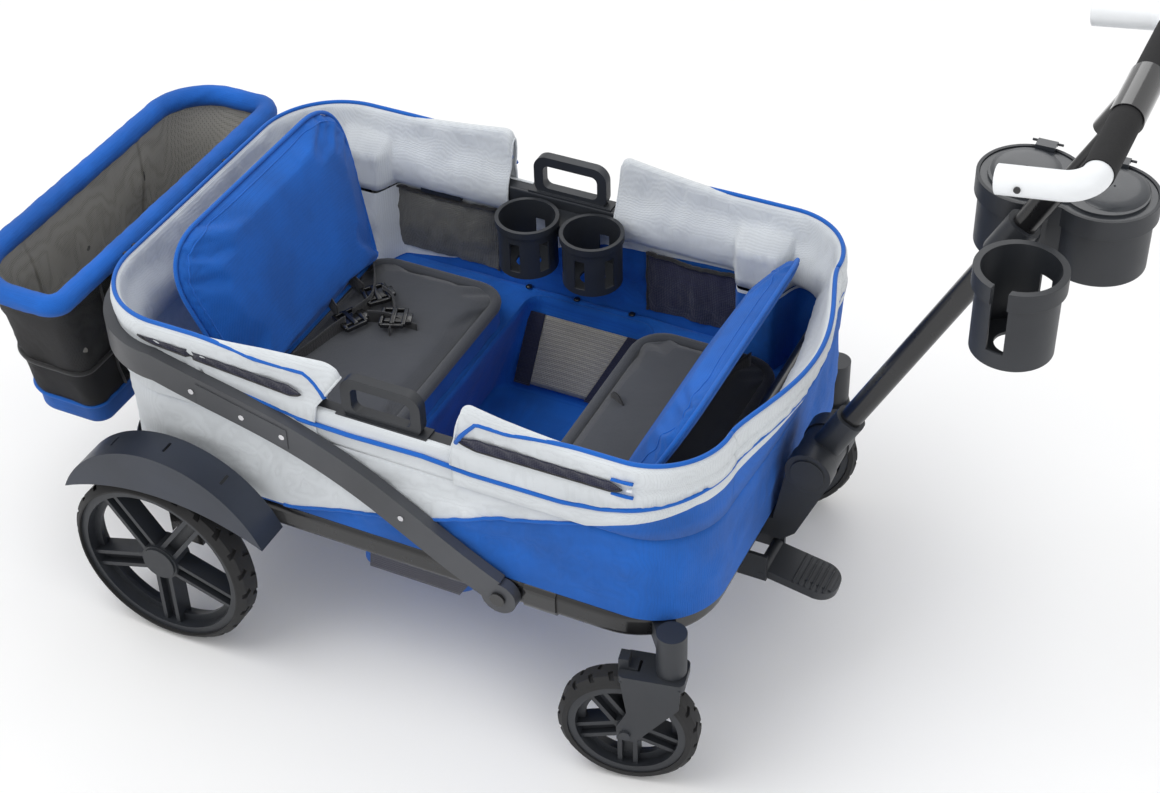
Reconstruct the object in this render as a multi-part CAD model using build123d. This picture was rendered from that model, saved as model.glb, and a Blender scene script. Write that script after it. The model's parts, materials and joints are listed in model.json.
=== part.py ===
from build123d import *
import os
from math import atan2, cos, degrees, hypot, radians, sin

# Folding pull wagon for two children. Sizes in mm, +Z up, +X forwards to the pull handle,
# +Y to the left. While it is built, x is measured from the rear axle and z from the ground;
# save() then shifts x so that the origin lies on the ground under the middle of the length.

# ---- clearances ----
RUN = 0.05          # radial running clearance of a pin or tube in its bore
GAP = 0.5           # side clearance between rigid pieces that move past each other
SOFT = 1.0          # clearance of soft panels from their neighbours

# ---- base frame ----
BASE_Z = 230.0      # centre height of the base tube loop
BASE_Y = 265.0      # centre of the side tubes
BASE_FRONT = 727.0
BASE_REAR = -100.0
BASE_CORNER = 100.0
TUBE_W = 20.0       # oval base tube, width and height
TUBE_H = 38.0
TUBE_WALL = 1.5
CROSS_R = 8.0       # radius of the cross tubes under the seats

# ---- rear wheels ----
REAR_R = 133.2
REAR_RIM_R = 122.0
REAR_WIDTH = 45.5
REAR_FACE_Y = 340.5
AXLE_R = 6.0
AXLE_TUBE_R = 11.0
FENDER_X = 29.0     # middle of the fender ahead of the axle
FENDER_TOP = 335.0
FENDER_R = 166.0    # upper arc of the fender
FENDER_HALF = 145.0
FENDER_SKIRT_Z = 271.0
FENDER_SKIRT_R = 340.0
FENDER_T = 3.0

# ---- casters ----
CASTER_X = 720.0
CASTER_Y = 283.5
CASTER_R = 89.6
CASTER_RIM_R = 75.7
CASTER_WIDTH = 37.4
TRAIL = 53.3
STEM_R = 7.0
HOUSING_R = 19.0
HOUSING_TOP = 259.0
HOUSING_BOTTOM = 196.0
REST_SWIVEL = {"left": 28.0, "right": 11.3}

# ---- tub: plan outline of the fabric and of the rail inside it ----
TUB_Y = 274.5       # outer face of the fabric sides
TUB_REAR = -100.0
TUB_FRONT = 748.0
REAR_CORNER = 112.0
FRONT_CORNER = 95.0
FABRIC = 3.0        # thickness of a lined fabric wall
RAIL_Z = 420.0      # centre height of the upper rail
RAIL_R = 11.0
RAIL_IN = 12.5      # rail centre inside the outer face of the fabric
WALL_TOP = 402.0    # the lower walls end just under the rail
RIM_LOW = 437.0     # the stiff rim band stands on the rail
RIM_Z = 500.0
RIM_OUT = 2.0       # rim band outside and inside the line of the walls
RIM_IN = 4.0
FLAP_GAP = (236.0, 436.0)   # x range of the gap between the side flaps

# ---- link frame ----
PIVOT_X = 490.0
PIVOT_Z = BASE_Z
ARM_T = 15.0        # thickness of the flat link bar
ARM_H = 42.0
ARM_CLEAR = 3.0     # between the fabric side and the link bar
HOOP_Z = 440.0
HOOP_CLEAR = 3.0    # between the fabric and the hoop at the rear
PIVOT_R = 6.0
HOUSING_END_R = 24.0
FOLD_DEG = 15.0     # swing of the link frame when the wagon folds
COUPLING_X = 142.0  # rivet where the link bar carries the upper rail
COUPLING_Z = 404.0
COUPLING_PIN_R = 3.5
SLOT_PLAY = 1.8     # the pin's arc leaves a straight line by less than this
CARRY_X = (276.0, 386.0)
CARRY_TOP = 496.0

# ---- telescoping corner posts ----
POST_X = (10.0, 620.0)
POST_Y = 240.0
POST_R = 8.0
SLEEVE_WALL = 2.5
SLEEVE_TOP = 298.0
SLEEVE_BOTTOM = 190.0
POST_OVERLAP = 18.0
CLAMP_H = 34.0
CLAMP_LEN = 34.0

# ---- seats ----
SEAT_TOP = 310.0
PAD_T = 22.0
PAN_T = 6.0
REAR_SEAT = (45.0, 262.0)
FRONT_SEAT = (475.0, 672.0)
SEAT_HALF = 190.0
SEAT_ROUND = 40.0
REAR_BACK = {"x": 62.0, "lean": 107.0, "height": 236.0, "half": 216.0, "low": 176.0, "thick": 32.0, "round": 62.0}
FRONT_BACK = {"x": 600.0, "lean": 62.3, "height": 205.0, "half": 208.0, "low": 196.0, "thick": 30.0, "round": 60.0}

# ---- footwell ----
WELL_TOP = (266.0, 470.0)
WELL_FLOOR = (226.0, 400.0)
WELL_TOP_HALF = 250.0
WELL_FLOOR_HALF = 205.0
WELL_Z = 112.0
WELL_RIM_Z = 238.0
WELL_BOARD_T = 5.0

# ---- storage basket ----
BASKET_RIM_Z = 460.0
BASKET_RIM_R = 13.0
BASKET_FRONT = -150.0
BASKET_REAR = -302.0
BASKET_HALF = 262.0
BASKET_BOTTOM = (-298.0, -172.0)   # x range at the bottom
BASKET_CORNER = 90.0
BASKET_BOTTOM_Z = 205.0
BASKET_BOTTOM_HALF = 195.0
BASKET_WALL = 2.5
HOOK_X = -130.0
HOOK_Y = 120.0
HOOK_PIN_R = 3.5

# ---- pull handle ----
HUB_X = 797.0
HUB_Z = 345.0
HUB_R = 30.0
HUB_HALF = 45.0
BARREL_HALF = 21.0
HANDLE_DEG = 62.2
HANDLE_LENGTH = 669.0
TUBE_DEPTH = 28.0   # lower handle tube, fore-and-aft and across
TUBE_ACROSS = 22.0
INNER_R = 6.5
INNER_START = 400.0
BUTTON_R = 6.0
CLAMP_AT = 410.0    # lower end of the accessory collar along the handle
LOWER_END = 520.0   # distance of the lower tube's end from the hub axis
GRIP_R = 17.0
GRIP_HALF = 178.0
GRIP_BEND = 28.0
ELBOW_LENGTH = 84.0

# ---- cup holders and tray ----
CUP_R = 43.0
CUP_WALL = 3.0
CUP_HEIGHT = 104.0
CUP_X = 1037.0
CUP_Y = -100.0
CUP_RIM_Z = 769.0
TRAY_LOBE_R = 62.0
TRAY_LOBES = (993.0, 1077.0)
TRAY_Y = 92.0
TRAY_Z = 757.0
TRAY_DEPTH = 90.0
TRAY_WALL = 3.0
TRAY_LIP = 5.0
LID_T = 3.0
CHILD_CUP_R = 39.0
CHILD_CUPS = (290.0, 388.0)
CHILD_CUP_Y = 203.0
CHILD_CUP_RIM_Z = 432.0
CHILD_CUP_HEIGHT = 78.0

# ---- brake ----
PEDAL_X = 752.0
PEDAL_Z = 182.0
PEDAL_Y = -40.0
PEDAL_HALF = 29.0
BRAKE_PIN_R = 4.0
BRAKE_RING = 18.0   # radius of the ring of brake holes in the wheel's hub
BRAKE_HOLES = 12

# ---- derived places ----
ARM_Y = TUB_Y + ARM_CLEAR + ARM_T / 2


def coupling_run(turn):
    """Forward place of the coupling rivet when the link frame has swung by turn degrees."""
    reach = hypot(COUPLING_X - PIVOT_X, COUPLING_Z - PIVOT_Z)
    start = degrees(atan2(COUPLING_Z - PIVOT_Z, PIVOT_X - COUPLING_X))
    return -reach * cos(radians(start - turn))


GRIP_X = HUB_X + HANDLE_LENGTH * cos(radians(HANDLE_DEG))
GRIP_Z = HUB_Z + HANDLE_LENGTH * sin(radians(HANDLE_DEG))
RAIL_Y = TUB_Y - RAIL_IN
LID_HINGE_Y = TRAY_Y + TRAY_LOBE_R + 2.0
LID_HINGE_Z = TRAY_Z + 4.0
CROSS_X = (REAR_SEAT[0] + 35, REAR_SEAT[1] - 40, FRONT_SEAT[0] + 25, FRONT_SEAT[1] - 20)
FOREMOST = max(GRIP_X + GRIP_R + 2, TRAY_LOBES[1] + TRAY_LOBE_R)
ORIGIN_X = (BASKET_REAR - BASKET_RIM_R + FOREMOST) / 2

os.makedirs("parts", exist_ok=True)


def save(name, *solids):
    """Write one node: the solids it is made of, shifted to the common origin."""
    shifted = [Pos(-ORIGIN_X, 0, 0) * s for s in solids]
    flat = [one for s in shifted for one in s.solids()]
    export_step(Compound(flat) if len(flat) > 1 else flat[0], f"parts/{name}.step")


# ---- general shapes ----
def bar(start, end, radius):
    """Round bar between two points."""
    start, end = Vector(*start), Vector(*end)
    return Solid.make_cylinder(radius, (end - start).length, Plane(origin=start, z_dir=end - start))


def pipe(start, end, radius, wall):
    return bar(start, end, radius) - bar(start, end, radius - wall)


def box(x, y, z):
    """Box from its ranges along the three axes."""
    size = [abs(b - a) for a, b in (x, y, z)]
    return Pos(*[(a + b) / 2 for a, b in (x, y, z)]) * Box(*size)


def plate(sketch, low, high):
    """Plan sketch extruded between two heights."""
    return Pos(0, 0, low) * extrude(sketch, high - low)


def side_plate(sketch, low, high):
    """Side-view sketch, drawn as x and z, extruded along y from low to high."""
    flat = Plane(origin=(0, low, 0), x_dir=(1, 0, 0), z_dir=(0, -1, 0)) * sketch
    return extrude(flat, high - low, dir=(0, 1, 0))


def plan_outline(rear, front, half, rear_round, front_round):
    """Rounded plan outline, symmetric about the x axis, as a face."""
    outline = Pos((rear + front) / 2, 0) * Rectangle(front - rear, 2 * half)
    outline = fillet(outline.vertices().group_by(Axis.X)[0], rear_round)
    return fillet(outline.vertices().group_by(Axis.X)[-1], front_round)


def swept_loop(outline, section):
    """Section swept once round the edge of a plan outline."""
    path = outline.face().outer_wire()
    start = Plane(origin=path @ 0, x_dir=(0, 0, 1), z_dir=path % 0)
    return sweep(start * section, path=path)


def mirrored(solid):
    return mirror(solid, about=Plane.XZ)


def both(solid):
    return [solid, mirrored(solid)]


# ---- base ----
def base_tube():
    """Oval tube bent into one closed loop, with its outer volume for trimming what touches it."""
    centre = plan_outline(BASE_REAR, BASE_FRONT, BASE_Y, BASE_CORNER, BASE_CORNER)
    outer = Pos(0, 0, BASE_Z) * swept_loop(centre, SlotOverall(TUBE_H, TUBE_W))
    bore = SlotOverall(TUBE_H - 2 * TUBE_WALL, TUBE_W - 2 * TUBE_WALL)
    inner = Pos(0, 0, BASE_Z) * swept_loop(centre, bore)
    return outer - inner, outer


def tube_collars(base_outer):
    """Oval sleeves that join the base tube ahead of the link pivots."""
    start = PIVOT_X + HOUSING_END_R + 3
    outer = extrude(Plane.YZ.offset(start) * SlotOverall(TUBE_H + 5, TUBE_W + 5, rotation=90), 44)
    collar = Pos(0, BASE_Y, BASE_Z) * outer - base_outer
    return both(collar)


def cross_tubes(base_outer):
    return [pipe((x, -BASE_Y, BASE_Z), (x, BASE_Y, BASE_Z), CROSS_R, 1.5) - base_outer for x in CROSS_X]


def seat_brackets():
    """Blocks that carry the seat pans on the cross tubes."""
    blocks = []
    for x in CROSS_X:
        for y in (-130, 130):
            block = box((x - 14, x + 14), (y - 12, y + 12), (BASE_Z - 4, SEAT_TOP - PAD_T - PAN_T))
            blocks.append(block - bar((x, y - 20, BASE_Z), (x, y + 20, BASE_Z), CROSS_R))
    return blocks


# ---- wheels, on the y axis about the origin ----
def disc(radius, low, high):
    """Round disc about the y axis between two y values."""
    return bar((0, low, 0), (0, high, 0), radius)


def spoke_wheel(rim_r, width, hub_r, bore_r, spokes=5):
    """Moulded wheel: rim with an inner web, hub and double-rib spokes."""
    half = width / 2
    rim = disc(rim_r, -half, half) - disc(rim_r - 10, -half - 1, half + 1)
    web = disc(rim_r - 9, -3, 3) - disc(rim_r - 20, -4, 4)
    body = rim + web + disc(hub_r, -half + 2, half - 2)
    reach = rim_r - 9
    rib_depth = width - 10
    for k in range(spokes):
        ribs = Pos(reach / 2, 0, 0) * Box(reach, rib_depth, 26)
        channel = Pos(reach / 2 + hub_r, 0, 0) * Box(reach, rib_depth + 2, 14)
        floor = Pos(reach / 2, 0, 0) * Box(reach, 5, 20)
        body += Rot(0, 90 + 360 * k / spokes, 0) * (ribs - channel + floor)
    return body - disc(bore_r, -half - 1, half + 1)


def tyre(radius, rim_r, width, lugs, groove):
    """Tyre with bevelled shoulders and two staggered rows of tread grooves."""
    half = width / 2
    bevel = width * 0.2
    outline = Polyline((rim_r, -half), (radius - bevel, -half), (radius, bevel - half), (radius, half - bevel),
                       (radius - bevel, half), (rim_r, half), close=True)
    ring = revolve(Plane.XZ * make_face(outline), Axis.Z)
    step = 360 / lugs
    row = half * 0.78
    cutters = []
    for k in range(lugs):
        for side in (-1, 1):
            block = Pos(radius, 0, side * (half - row / 2)) * Rot(side * 20, 0, 0) * Box(8, groove, row + 4)
            cutters.append(Rot(0, 0, (k + 0.5) * step + side * step / 5) * block)
    return Rot(90, 0, 0) * (ring - cutters)


def rear_wheel(side):
    centre = Pos(0, side * (REAR_FACE_Y - REAR_WIDTH / 2), REAR_R)
    rim = spoke_wheel(REAR_RIM_R, REAR_WIDTH - 9, 27, AXLE_R + RUN)
    inner = -side * ((REAR_WIDTH - 9) / 2)
    for k in range(BRAKE_HOLES):
        hole = bar((0, inner * 1.1, BRAKE_RING), (0, inner * 0.3, BRAKE_RING), BRAKE_PIN_R + 1)
        rim -= Rot(0, 360 * k / BRAKE_HOLES, 0) * hole
    rim = centre * rim
    return rim, centre * tyre(REAR_R, REAR_RIM_R, REAR_WIDTH, 24, 8)


def wheel_cap(side):
    """Round cap that closes the wheel's hub outside the axle's end."""
    face = REAR_FACE_Y - 4.5 - 2
    return bar((0, side * face, REAR_R), (0, side * (face + 3), REAR_R), 24)


def crescent(low, high):
    """Crescent between the fender's upper arc and its lower skirt arc, as a plate across y."""
    upper = bar((FENDER_X, low, FENDER_TOP - FENDER_R), (FENDER_X, high, FENDER_TOP - FENDER_R), FENDER_R)
    skirt_z = FENDER_SKIRT_Z - FENDER_SKIRT_R
    return upper - bar((FENDER_X, low - 1, skirt_z), (FENDER_X, high + 1, skirt_z), FENDER_SKIRT_R)


def fender(side):
    """Arched guard over the rear wheel: a crown band with an outer and an inner skirt and three slots."""
    inner_y = REAR_FACE_Y - REAR_WIDTH + 0.5
    outer_y = REAR_FACE_Y + 5
    crown_z = FENDER_TOP - FENDER_R
    hollow = bar((FENDER_X, inner_y + FENDER_T, crown_z), (FENDER_X, outer_y - FENDER_T, crown_z), FENDER_R - FENDER_T)
    shell = crescent(inner_y, outer_y) - hollow
    for turn in (-28, 2, 32):
        slot = Rot(0, turn, 0) * box((-2, 2), (inner_y + 12, inner_y + 30), (FENDER_R - 6, FENDER_R + 6))
        shell -= Pos(FENDER_X, 0, crown_z) * slot
    return shell if side > 0 else mirrored(shell)


def fender_bracket(side):
    """Foot that joins the fender's inner skirt to the base tube, under the path of the link bar."""
    inner_y = REAR_FACE_Y - REAR_WIDTH + 0.5
    tyre_y = REAR_FACE_Y - REAR_WIDTH - 1
    span = (FENDER_X - 20, FENDER_X + 20)
    foot = box(span, (BASE_Y + TUBE_W / 2, tyre_y), (BASE_Z, FENDER_SKIRT_Z + 6))
    foot += box(span, (tyre_y - 1, inner_y), (FENDER_SKIRT_Z - 1, FENDER_SKIRT_Z + 6))
    return foot if side > 0 else mirrored(foot)


def axle_bracket(side, base_outer):
    """Plate that hangs the rear axle under the base tube."""
    plate_y = (BASE_Y - 4, BASE_Y + 4)
    drop = box((-24, 24), plate_y, (REAR_R - 16, BASE_Z - TUBE_H / 2 + 8)) - base_outer
    drop -= bar((0, plate_y[0] - 1, REAR_R), (0, plate_y[1] + 1, REAR_R), AXLE_R)
    pin_z = REAR_R + BRAKE_RING
    drop -= bar((0, plate_y[0] - 1, pin_z), (0, plate_y[1] + 1, pin_z), BRAKE_PIN_R + RUN)
    return drop if side > 0 else mirrored(drop)


# ---- casters ----
def caster_frame(side):
    """Place of one caster's stem, turned to its rest swivel."""
    name = "left" if side > 0 else "right"
    return Pos(CASTER_X, side * CASTER_Y, 0) * Rot(0, 0, REST_SWIVEL[name])


def caster_housing(side, base_outer):
    """Upright barrel that holds the caster stem, with its arm to the corner of the base tube."""
    turn = degrees(atan2(CASTER_Y - BASE_Y + BASE_CORNER, CASTER_X - BASE_FRONT + BASE_CORNER))
    corner = Pos(BASE_FRONT - BASE_CORNER, BASE_Y - BASE_CORNER, BASE_Z) * Rot(0, 0, turn)
    reach = hypot(CASTER_Y - BASE_Y + BASE_CORNER, CASTER_X - BASE_FRONT + BASE_CORNER)
    arm = corner * box((BASE_CORNER, reach), (-14, 14), (-17, 13))
    barrel = bar((CASTER_X, CASTER_Y, HOUSING_BOTTOM), (CASTER_X, CASTER_Y, HOUSING_TOP), HOUSING_R)
    body = (arm - base_outer) + barrel
    body -= bar((CASTER_X, CASTER_Y, HOUSING_BOTTOM - 1), (CASTER_X, CASTER_Y, HOUSING_TOP - 12), STEM_R + RUN)
    return body if side > 0 else mirrored(body)


def caster_fork(side):
    """Fork with a crown under the housing, two tapered legs and the stem."""
    crown_z = 2 * CASTER_R + 5
    half = CASTER_WIDTH / 2
    leg_y = half + 1.5
    stem = bar((0, 0, crown_z), (0, 0, HOUSING_TOP - 14), STEM_R)
    collar = bar((0, 0, crown_z), (0, 0, HOUSING_BOTTOM - GAP), HOUSING_R - 1)
    crown = box((-TRAIL - 10, 20), (-leg_y - 4, leg_y + 4), (crown_z - 4, crown_z + 8))
    crown = fillet(crown.edges().filter_by(Axis.Z), 9)
    outline = Polyline((16, crown_z), (14, crown_z - 34), (-TRAIL + 13, CASTER_R - 10), (-TRAIL - 11, CASTER_R - 10),
                       (-TRAIL - 11, CASTER_R + 12), (-TRAIL + 2, CASTER_R + 40), (-TRAIL - 6, crown_z), close=True)
    leg = side_plate(make_face(outline), leg_y, leg_y + 4)
    bolt_hole = bar((-TRAIL, -60, CASTER_R), (-TRAIL, 60, CASTER_R), 4)
    fork = stem + collar + crown + leg + mirrored(leg) - bolt_hole
    lever_room = box((-TRAIL - 12, -TRAIL + 16), (-9.5, 9.5), (crown_z + 1, crown_z + 30))
    hinge = bar((-TRAIL + 11, -14, crown_z + 4.5), (-TRAIL + 11, 14, crown_z + 4.5), 2.5 + RUN)
    return caster_frame(side) * (fork - lever_room - hinge)


def caster_wheel(side):
    centre = Pos(-TRAIL, 0, CASTER_R)
    rim = centre * spoke_wheel(CASTER_RIM_R, CASTER_WIDTH - 4, 14, 4 + RUN)
    rubber = centre * tyre(CASTER_R, CASTER_RIM_R, CASTER_WIDTH, 20, 6)
    return caster_frame(side) * rim, caster_frame(side) * rubber


def caster_bolt(side):
    """Axle bolt through the fork legs with a domed head outside."""
    reach = CASTER_WIDTH / 2 + 5.5
    bolt = bar((-TRAIL, -reach, CASTER_R), (-TRAIL, reach, CASTER_R), 4)
    for end in (-1, 1):
        bolt += bar((-TRAIL, end * reach, CASTER_R), (-TRAIL, end * (reach + 3), CASTER_R), 7)
    return caster_frame(side) * bolt


def swivel_lock(side):
    """Tab on the fork that locks the caster straight: a wedge on a cross hinge."""
    crown_z = 2 * CASTER_R + 5
    z_low = crown_z + 1 + GAP
    tab = box((-TRAIL - 11, -TRAIL + 13), (-9, 9), (z_low, z_low + 9))
    rise = box((-TRAIL - 11, -TRAIL + 2), (-9, 9), (z_low + 9, z_low + 22))
    stubs = bar((-TRAIL + 11, -13.5, crown_z + 4.5), (-TRAIL + 11, 13.5, crown_z + 4.5), 2.5)
    return caster_frame(side) * (tab + rise + stubs)


# ---- link frame ----
def link_frame():
    """Flat link bars from the base pivots up and back to the hoop round the rear of the tub."""
    half = ARM_H / 2
    corner = REAR_CORNER + HOOP_CLEAR
    bend_x = TUB_REAR - HOOP_CLEAR + corner
    points = [(bend_x, HOOP_Z), (70, 425), (199, 392), (313, 342), (400, 288), (PIVOT_X - 10, PIVOT_Z + 12)]
    slopes = [0, 16, 16, 27, 36, 41]
    shift = [(half * sin(radians(a)), half * cos(radians(a))) for a in slopes]
    top = Spline(*[(x + dx, z + dz) for (x, z), (dx, dz) in zip(points, shift)])
    under = Spline(*[(x - dx, z - dz) for (x, z), (dx, dz) in zip(points, shift)])
    outline = make_face([top, under, Line(top @ 0, under @ 0), Line(top @ 1, under @ 1)])
    arm = side_plate(outline, ARM_Y - ARM_T / 2, ARM_Y + ARM_T / 2)
    arm += bar((PIVOT_X, ARM_Y - ARM_T / 2, PIVOT_Z), (PIVOT_X, ARM_Y + ARM_T / 2, PIVOT_Z), HOUSING_END_R)
    arm -= bar((PIVOT_X, 0, PIVOT_Z), (PIVOT_X, 400, PIVOT_Z), PIVOT_R + RUN)
    outer = plan_outline(TUB_REAR - HOOP_CLEAR - ARM_T, 800, ARM_Y + ARM_T / 2, corner + ARM_T, 5)
    inner = plan_outline(TUB_REAR - HOOP_CLEAR, 790, ARM_Y - ARM_T / 2, corner, 5)
    ring = plate(outer - inner, HOOP_Z - half, HOOP_Z + half)
    hoop = ring & box((-400, bend_x), (-400, 400), (0, 800))
    return hoop + arm + mirrored(arm)


def coupling_shells():
    """Plastic shells over the stretch of each link bar that carries the upper rail."""
    face = ARM_Y + ARM_T / 2
    points = [(78, 404), (78, 436), (206, 404), (206, 374)]
    shell = side_plate(make_face(Polyline(*points, close=True)), face, face + 1.4)
    return both(shell)


RIVETS = ((70.0, 421.0), (142.0, 404.0), (199.0, 392.0), (360.0, 316.0))


def link_rivets():
    face = ARM_Y + ARM_T / 2
    rivets = [bar((x, face + 1.4, z), (x, face + 2.6, z), 4) for x, z in RIVETS[1:3]]
    rivets += [bar((x, face, z), (x, face + 1.6, z), 4) for x, z in (RIVETS[0], RIVETS[3])]
    return [one for rivet in rivets for one in both(rivet)]


def coupling_pins():
    """Pins on the link bars that run in the slots under the upper rail."""
    pin = bar((COUPLING_X, RAIL_Y - 7, COUPLING_Z), (COUPLING_X, ARM_Y - ARM_T / 2, COUPLING_Z), COUPLING_PIN_R)
    return both(pin)


def fold_pivots():
    """Bolts from the base tube through the link bars' lower eyes."""
    side = BASE_Y + TUBE_W / 2
    face = ARM_Y + ARM_T / 2
    spacer = bar((PIVOT_X, side, PIVOT_Z), (PIVOT_X, ARM_Y - ARM_T / 2 - GAP, PIVOT_Z), 9)
    shank = bar((PIVOT_X, side, PIVOT_Z), (PIVOT_X, face + GAP, PIVOT_Z), PIVOT_R)
    head = bar((PIVOT_X, face + GAP, PIVOT_Z), (PIVOT_X, face + 4, PIVOT_Z), 10)
    return both(spacer + shank + head)


# ---- upper frame ----
def tub_outline(grow):
    """Plan outline of the tub, moved out by grow."""
    return plan_outline(TUB_REAR - grow, TUB_FRONT + grow, TUB_Y + grow, REAR_CORNER + grow, FRONT_CORNER + grow)


def upper_rail():
    centre = tub_outline(-RAIL_IN)
    outer = Pos(0, 0, RAIL_Z) * swept_loop(centre, Circle(RAIL_R))
    inner = Pos(0, 0, RAIL_Z) * swept_loop(centre, Circle(RAIL_R - 1.2))
    return outer - inner, outer


def slot_brackets(rail_outer):
    """Slotted plates under the rail: the coupling pins slide along them as the wagon folds."""
    travel = coupling_run(0) - coupling_run(FOLD_DEG)
    reach = COUPLING_PIN_R + 2
    ends = (COUPLING_X - travel - reach, COUPLING_X + reach)
    block = box((ends[0] - 10, ends[1] + 10), (RAIL_Y - 8, RAIL_Y + 8), (COUPLING_Z - 18, RAIL_Z))
    high = COUPLING_PIN_R + SLOT_PLAY
    slot = box(ends, (RAIL_Y - 9, RAIL_Y + 9), (COUPLING_Z - high, COUPLING_Z + high))
    bracket = block - rail_outer - slot
    return both(max(bracket.solids(), key=lambda one: one.volume))


def post_places():
    return [(x, side * POST_Y) for x in POST_X for side in (-1, 1)]


def post_sleeves(base_outer):
    """Guides on the base tube for the telescoping corner posts."""
    sleeves = []
    outer_r = POST_R + SLEEVE_WALL
    for x, y in post_places():
        side = 1 if y > 0 else -1
        web = box((x - 9, x + 9), sorted((y, side * BASE_Y)), (BASE_Z - 14, BASE_Z + 14)) - base_outer
        body = web + bar((x, y, SLEEVE_BOTTOM), (x, y, SLEEVE_TOP), outer_r)
        sleeves.append(body - bar((x, y, SLEEVE_BOTTOM - 1), (x, y, SLEEVE_TOP + 1), POST_R + RUN))
    return sleeves


def post_tubes():
    top = RAIL_Z - CLAMP_H / 2
    return [pipe((x, y, SLEEVE_TOP - POST_OVERLAP), (x, y, top), POST_R, 1.2) for x, y in post_places()]


def post_clamps(rail_outer):
    """Clamps that join the posts to the rail."""
    clamps = []
    for x, y in post_places():
        side = 1 if y > 0 else -1
        span = sorted((side * (POST_Y - POST_R - 2), side * (RAIL_Y + RAIL_R - 1)))
        block = box((x - CLAMP_LEN / 2, x + CLAMP_LEN / 2), span, (RAIL_Z - CLAMP_H / 2, RAIL_Z + CLAMP_H / 2 - 2))
        clamps.append(block - rail_outer)
    return clamps


def carry_handle(side, rail_outer):
    """Upright loop on a foot that sits on the rail in the gap between the flaps."""
    middle = sum(CARRY_X) / 2
    length = CARRY_X[1] - CARRY_X[0]
    foot = box((CARRY_X[0] - 8, CARRY_X[1] + 8), (RAIL_Y - 11, RAIL_Y + 11), (RAIL_Z, RAIL_Z + 19)) - rail_outer
    rise = CARRY_TOP - RAIL_Z - 12
    centre = Pos(middle, RAIL_Z + 12 + rise / 2)
    loop = centre * (RectangleRounded(length, rise, 20) - RectangleRounded(length - 28, rise - 28, 9))
    body = foot + side_plate(loop, RAIL_Y - 7, RAIL_Y + 7) - rail_outer
    return body if side > 0 else mirrored(body)


# ---- fabric of the tub ----
def ring_part(low, high, out, inn, x_range, side=None):
    """Stretch of the ring between two tub outlines."""
    ring = plate(tub_outline(out) - tub_outline(-inn), low, high)
    y_range = (-500, 500) if side is None else sorted((0, side * 500))
    return ring & box(x_range, y_range, (low - 1, high + 1))


def lower_wall(x_range, side=None):
    """Fabric wall between the base tube and the rail, notched for the coupling pins."""
    wall = ring_part(BASE_Z + TUBE_H / 2 + SOFT, WALL_TOP, 0, FABRIC, x_range, side)
    notch_x = (COUPLING_X - 60, COUPLING_X + 22)
    return wall - box(notch_x, (-400, 400), (COUPLING_Z - 20, WALL_TOP + 1))


# ---- seats ----
def seat_outline(span):
    outline = Pos(sum(span) / 2, 0) * Rectangle(span[1] - span[0], 2 * SEAT_HALF)
    return fillet(outline.vertices(), SEAT_ROUND)


def seat_pan(span):
    return plate(seat_outline(span), SEAT_TOP - PAD_T - PAN_T, SEAT_TOP - PAD_T)


def seat_pad(span):
    pad = plate(seat_outline(span), SEAT_TOP - PAD_T, SEAT_TOP)
    return fillet(pad.edges().group_by(Axis.Z)[-1], 8)


def back_place(back):
    """Hinge line of a seat back, with local x up the back."""
    return Pos(back["x"], 0, SEAT_TOP + back["thick"] / 2 + GAP) * Rot(0, -back["lean"], 0)


def back_outline(back, trim):
    low = back["low"] - trim
    high = back["half"] - trim
    outline = make_face(Polyline((0, -low), (back["height"], -high), (back["height"], high), (0, low), close=True))
    return fillet(outline.vertices().group_by(Axis.X)[-1], back["round"])


def back_board(back, face):
    """Stiffening board on the outer face of a seat back."""
    low, high = sorted((face * back["thick"] / 2, face * (back["thick"] / 2 - 5)))
    return back_place(back) * plate(back_outline(back, 10) & Pos(back["height"] / 2 - 5, 0)
                                    * Rectangle(back["height"] - 10, 900), low, high)


def back_pad(back, face):
    """Padded front of a seat back, rounded along its hinge line."""
    half = back["thick"] / 2
    low, high = sorted((-face * half, face * (half - 5)))
    slab = plate(back_outline(back, 0), low, high)
    roll = bar((0, -back["low"], 0), (0, back["low"], 0), half)
    roll &= box((-half - 1, 0), (-900, 900), (low, high))
    return back_place(back) * (slab + roll)


# ---- footwell ----
def well_section(z, grow):
    share = (z - WELL_Z) / (WELL_RIM_Z - WELL_Z)
    low = WELL_FLOOR[0] + (WELL_TOP[0] - WELL_FLOOR[0]) * share - grow
    high = WELL_FLOOR[1] + (WELL_TOP[1] - WELL_FLOOR[1]) * share + grow
    half = WELL_FLOOR_HALF + (WELL_TOP_HALF - WELL_FLOOR_HALF) * share + grow
    return Pos((low + high) / 2, 0, z) * RectangleRounded(high - low, 2 * half, 25)


def footwell():
    """Fabric well that hangs from the base tube between the seats."""
    outer = loft([well_section(WELL_Z, 0), well_section(WELL_RIM_Z, 0)])
    inner = loft([well_section(WELL_Z + FABRIC, -FABRIC), well_section(WELL_RIM_Z + 1, -FABRIC)])
    return outer - inner


def footwell_board():
    section = well_section(WELL_Z + FABRIC, -FABRIC - 4)
    return extrude(section, WELL_BOARD_T)


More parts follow.
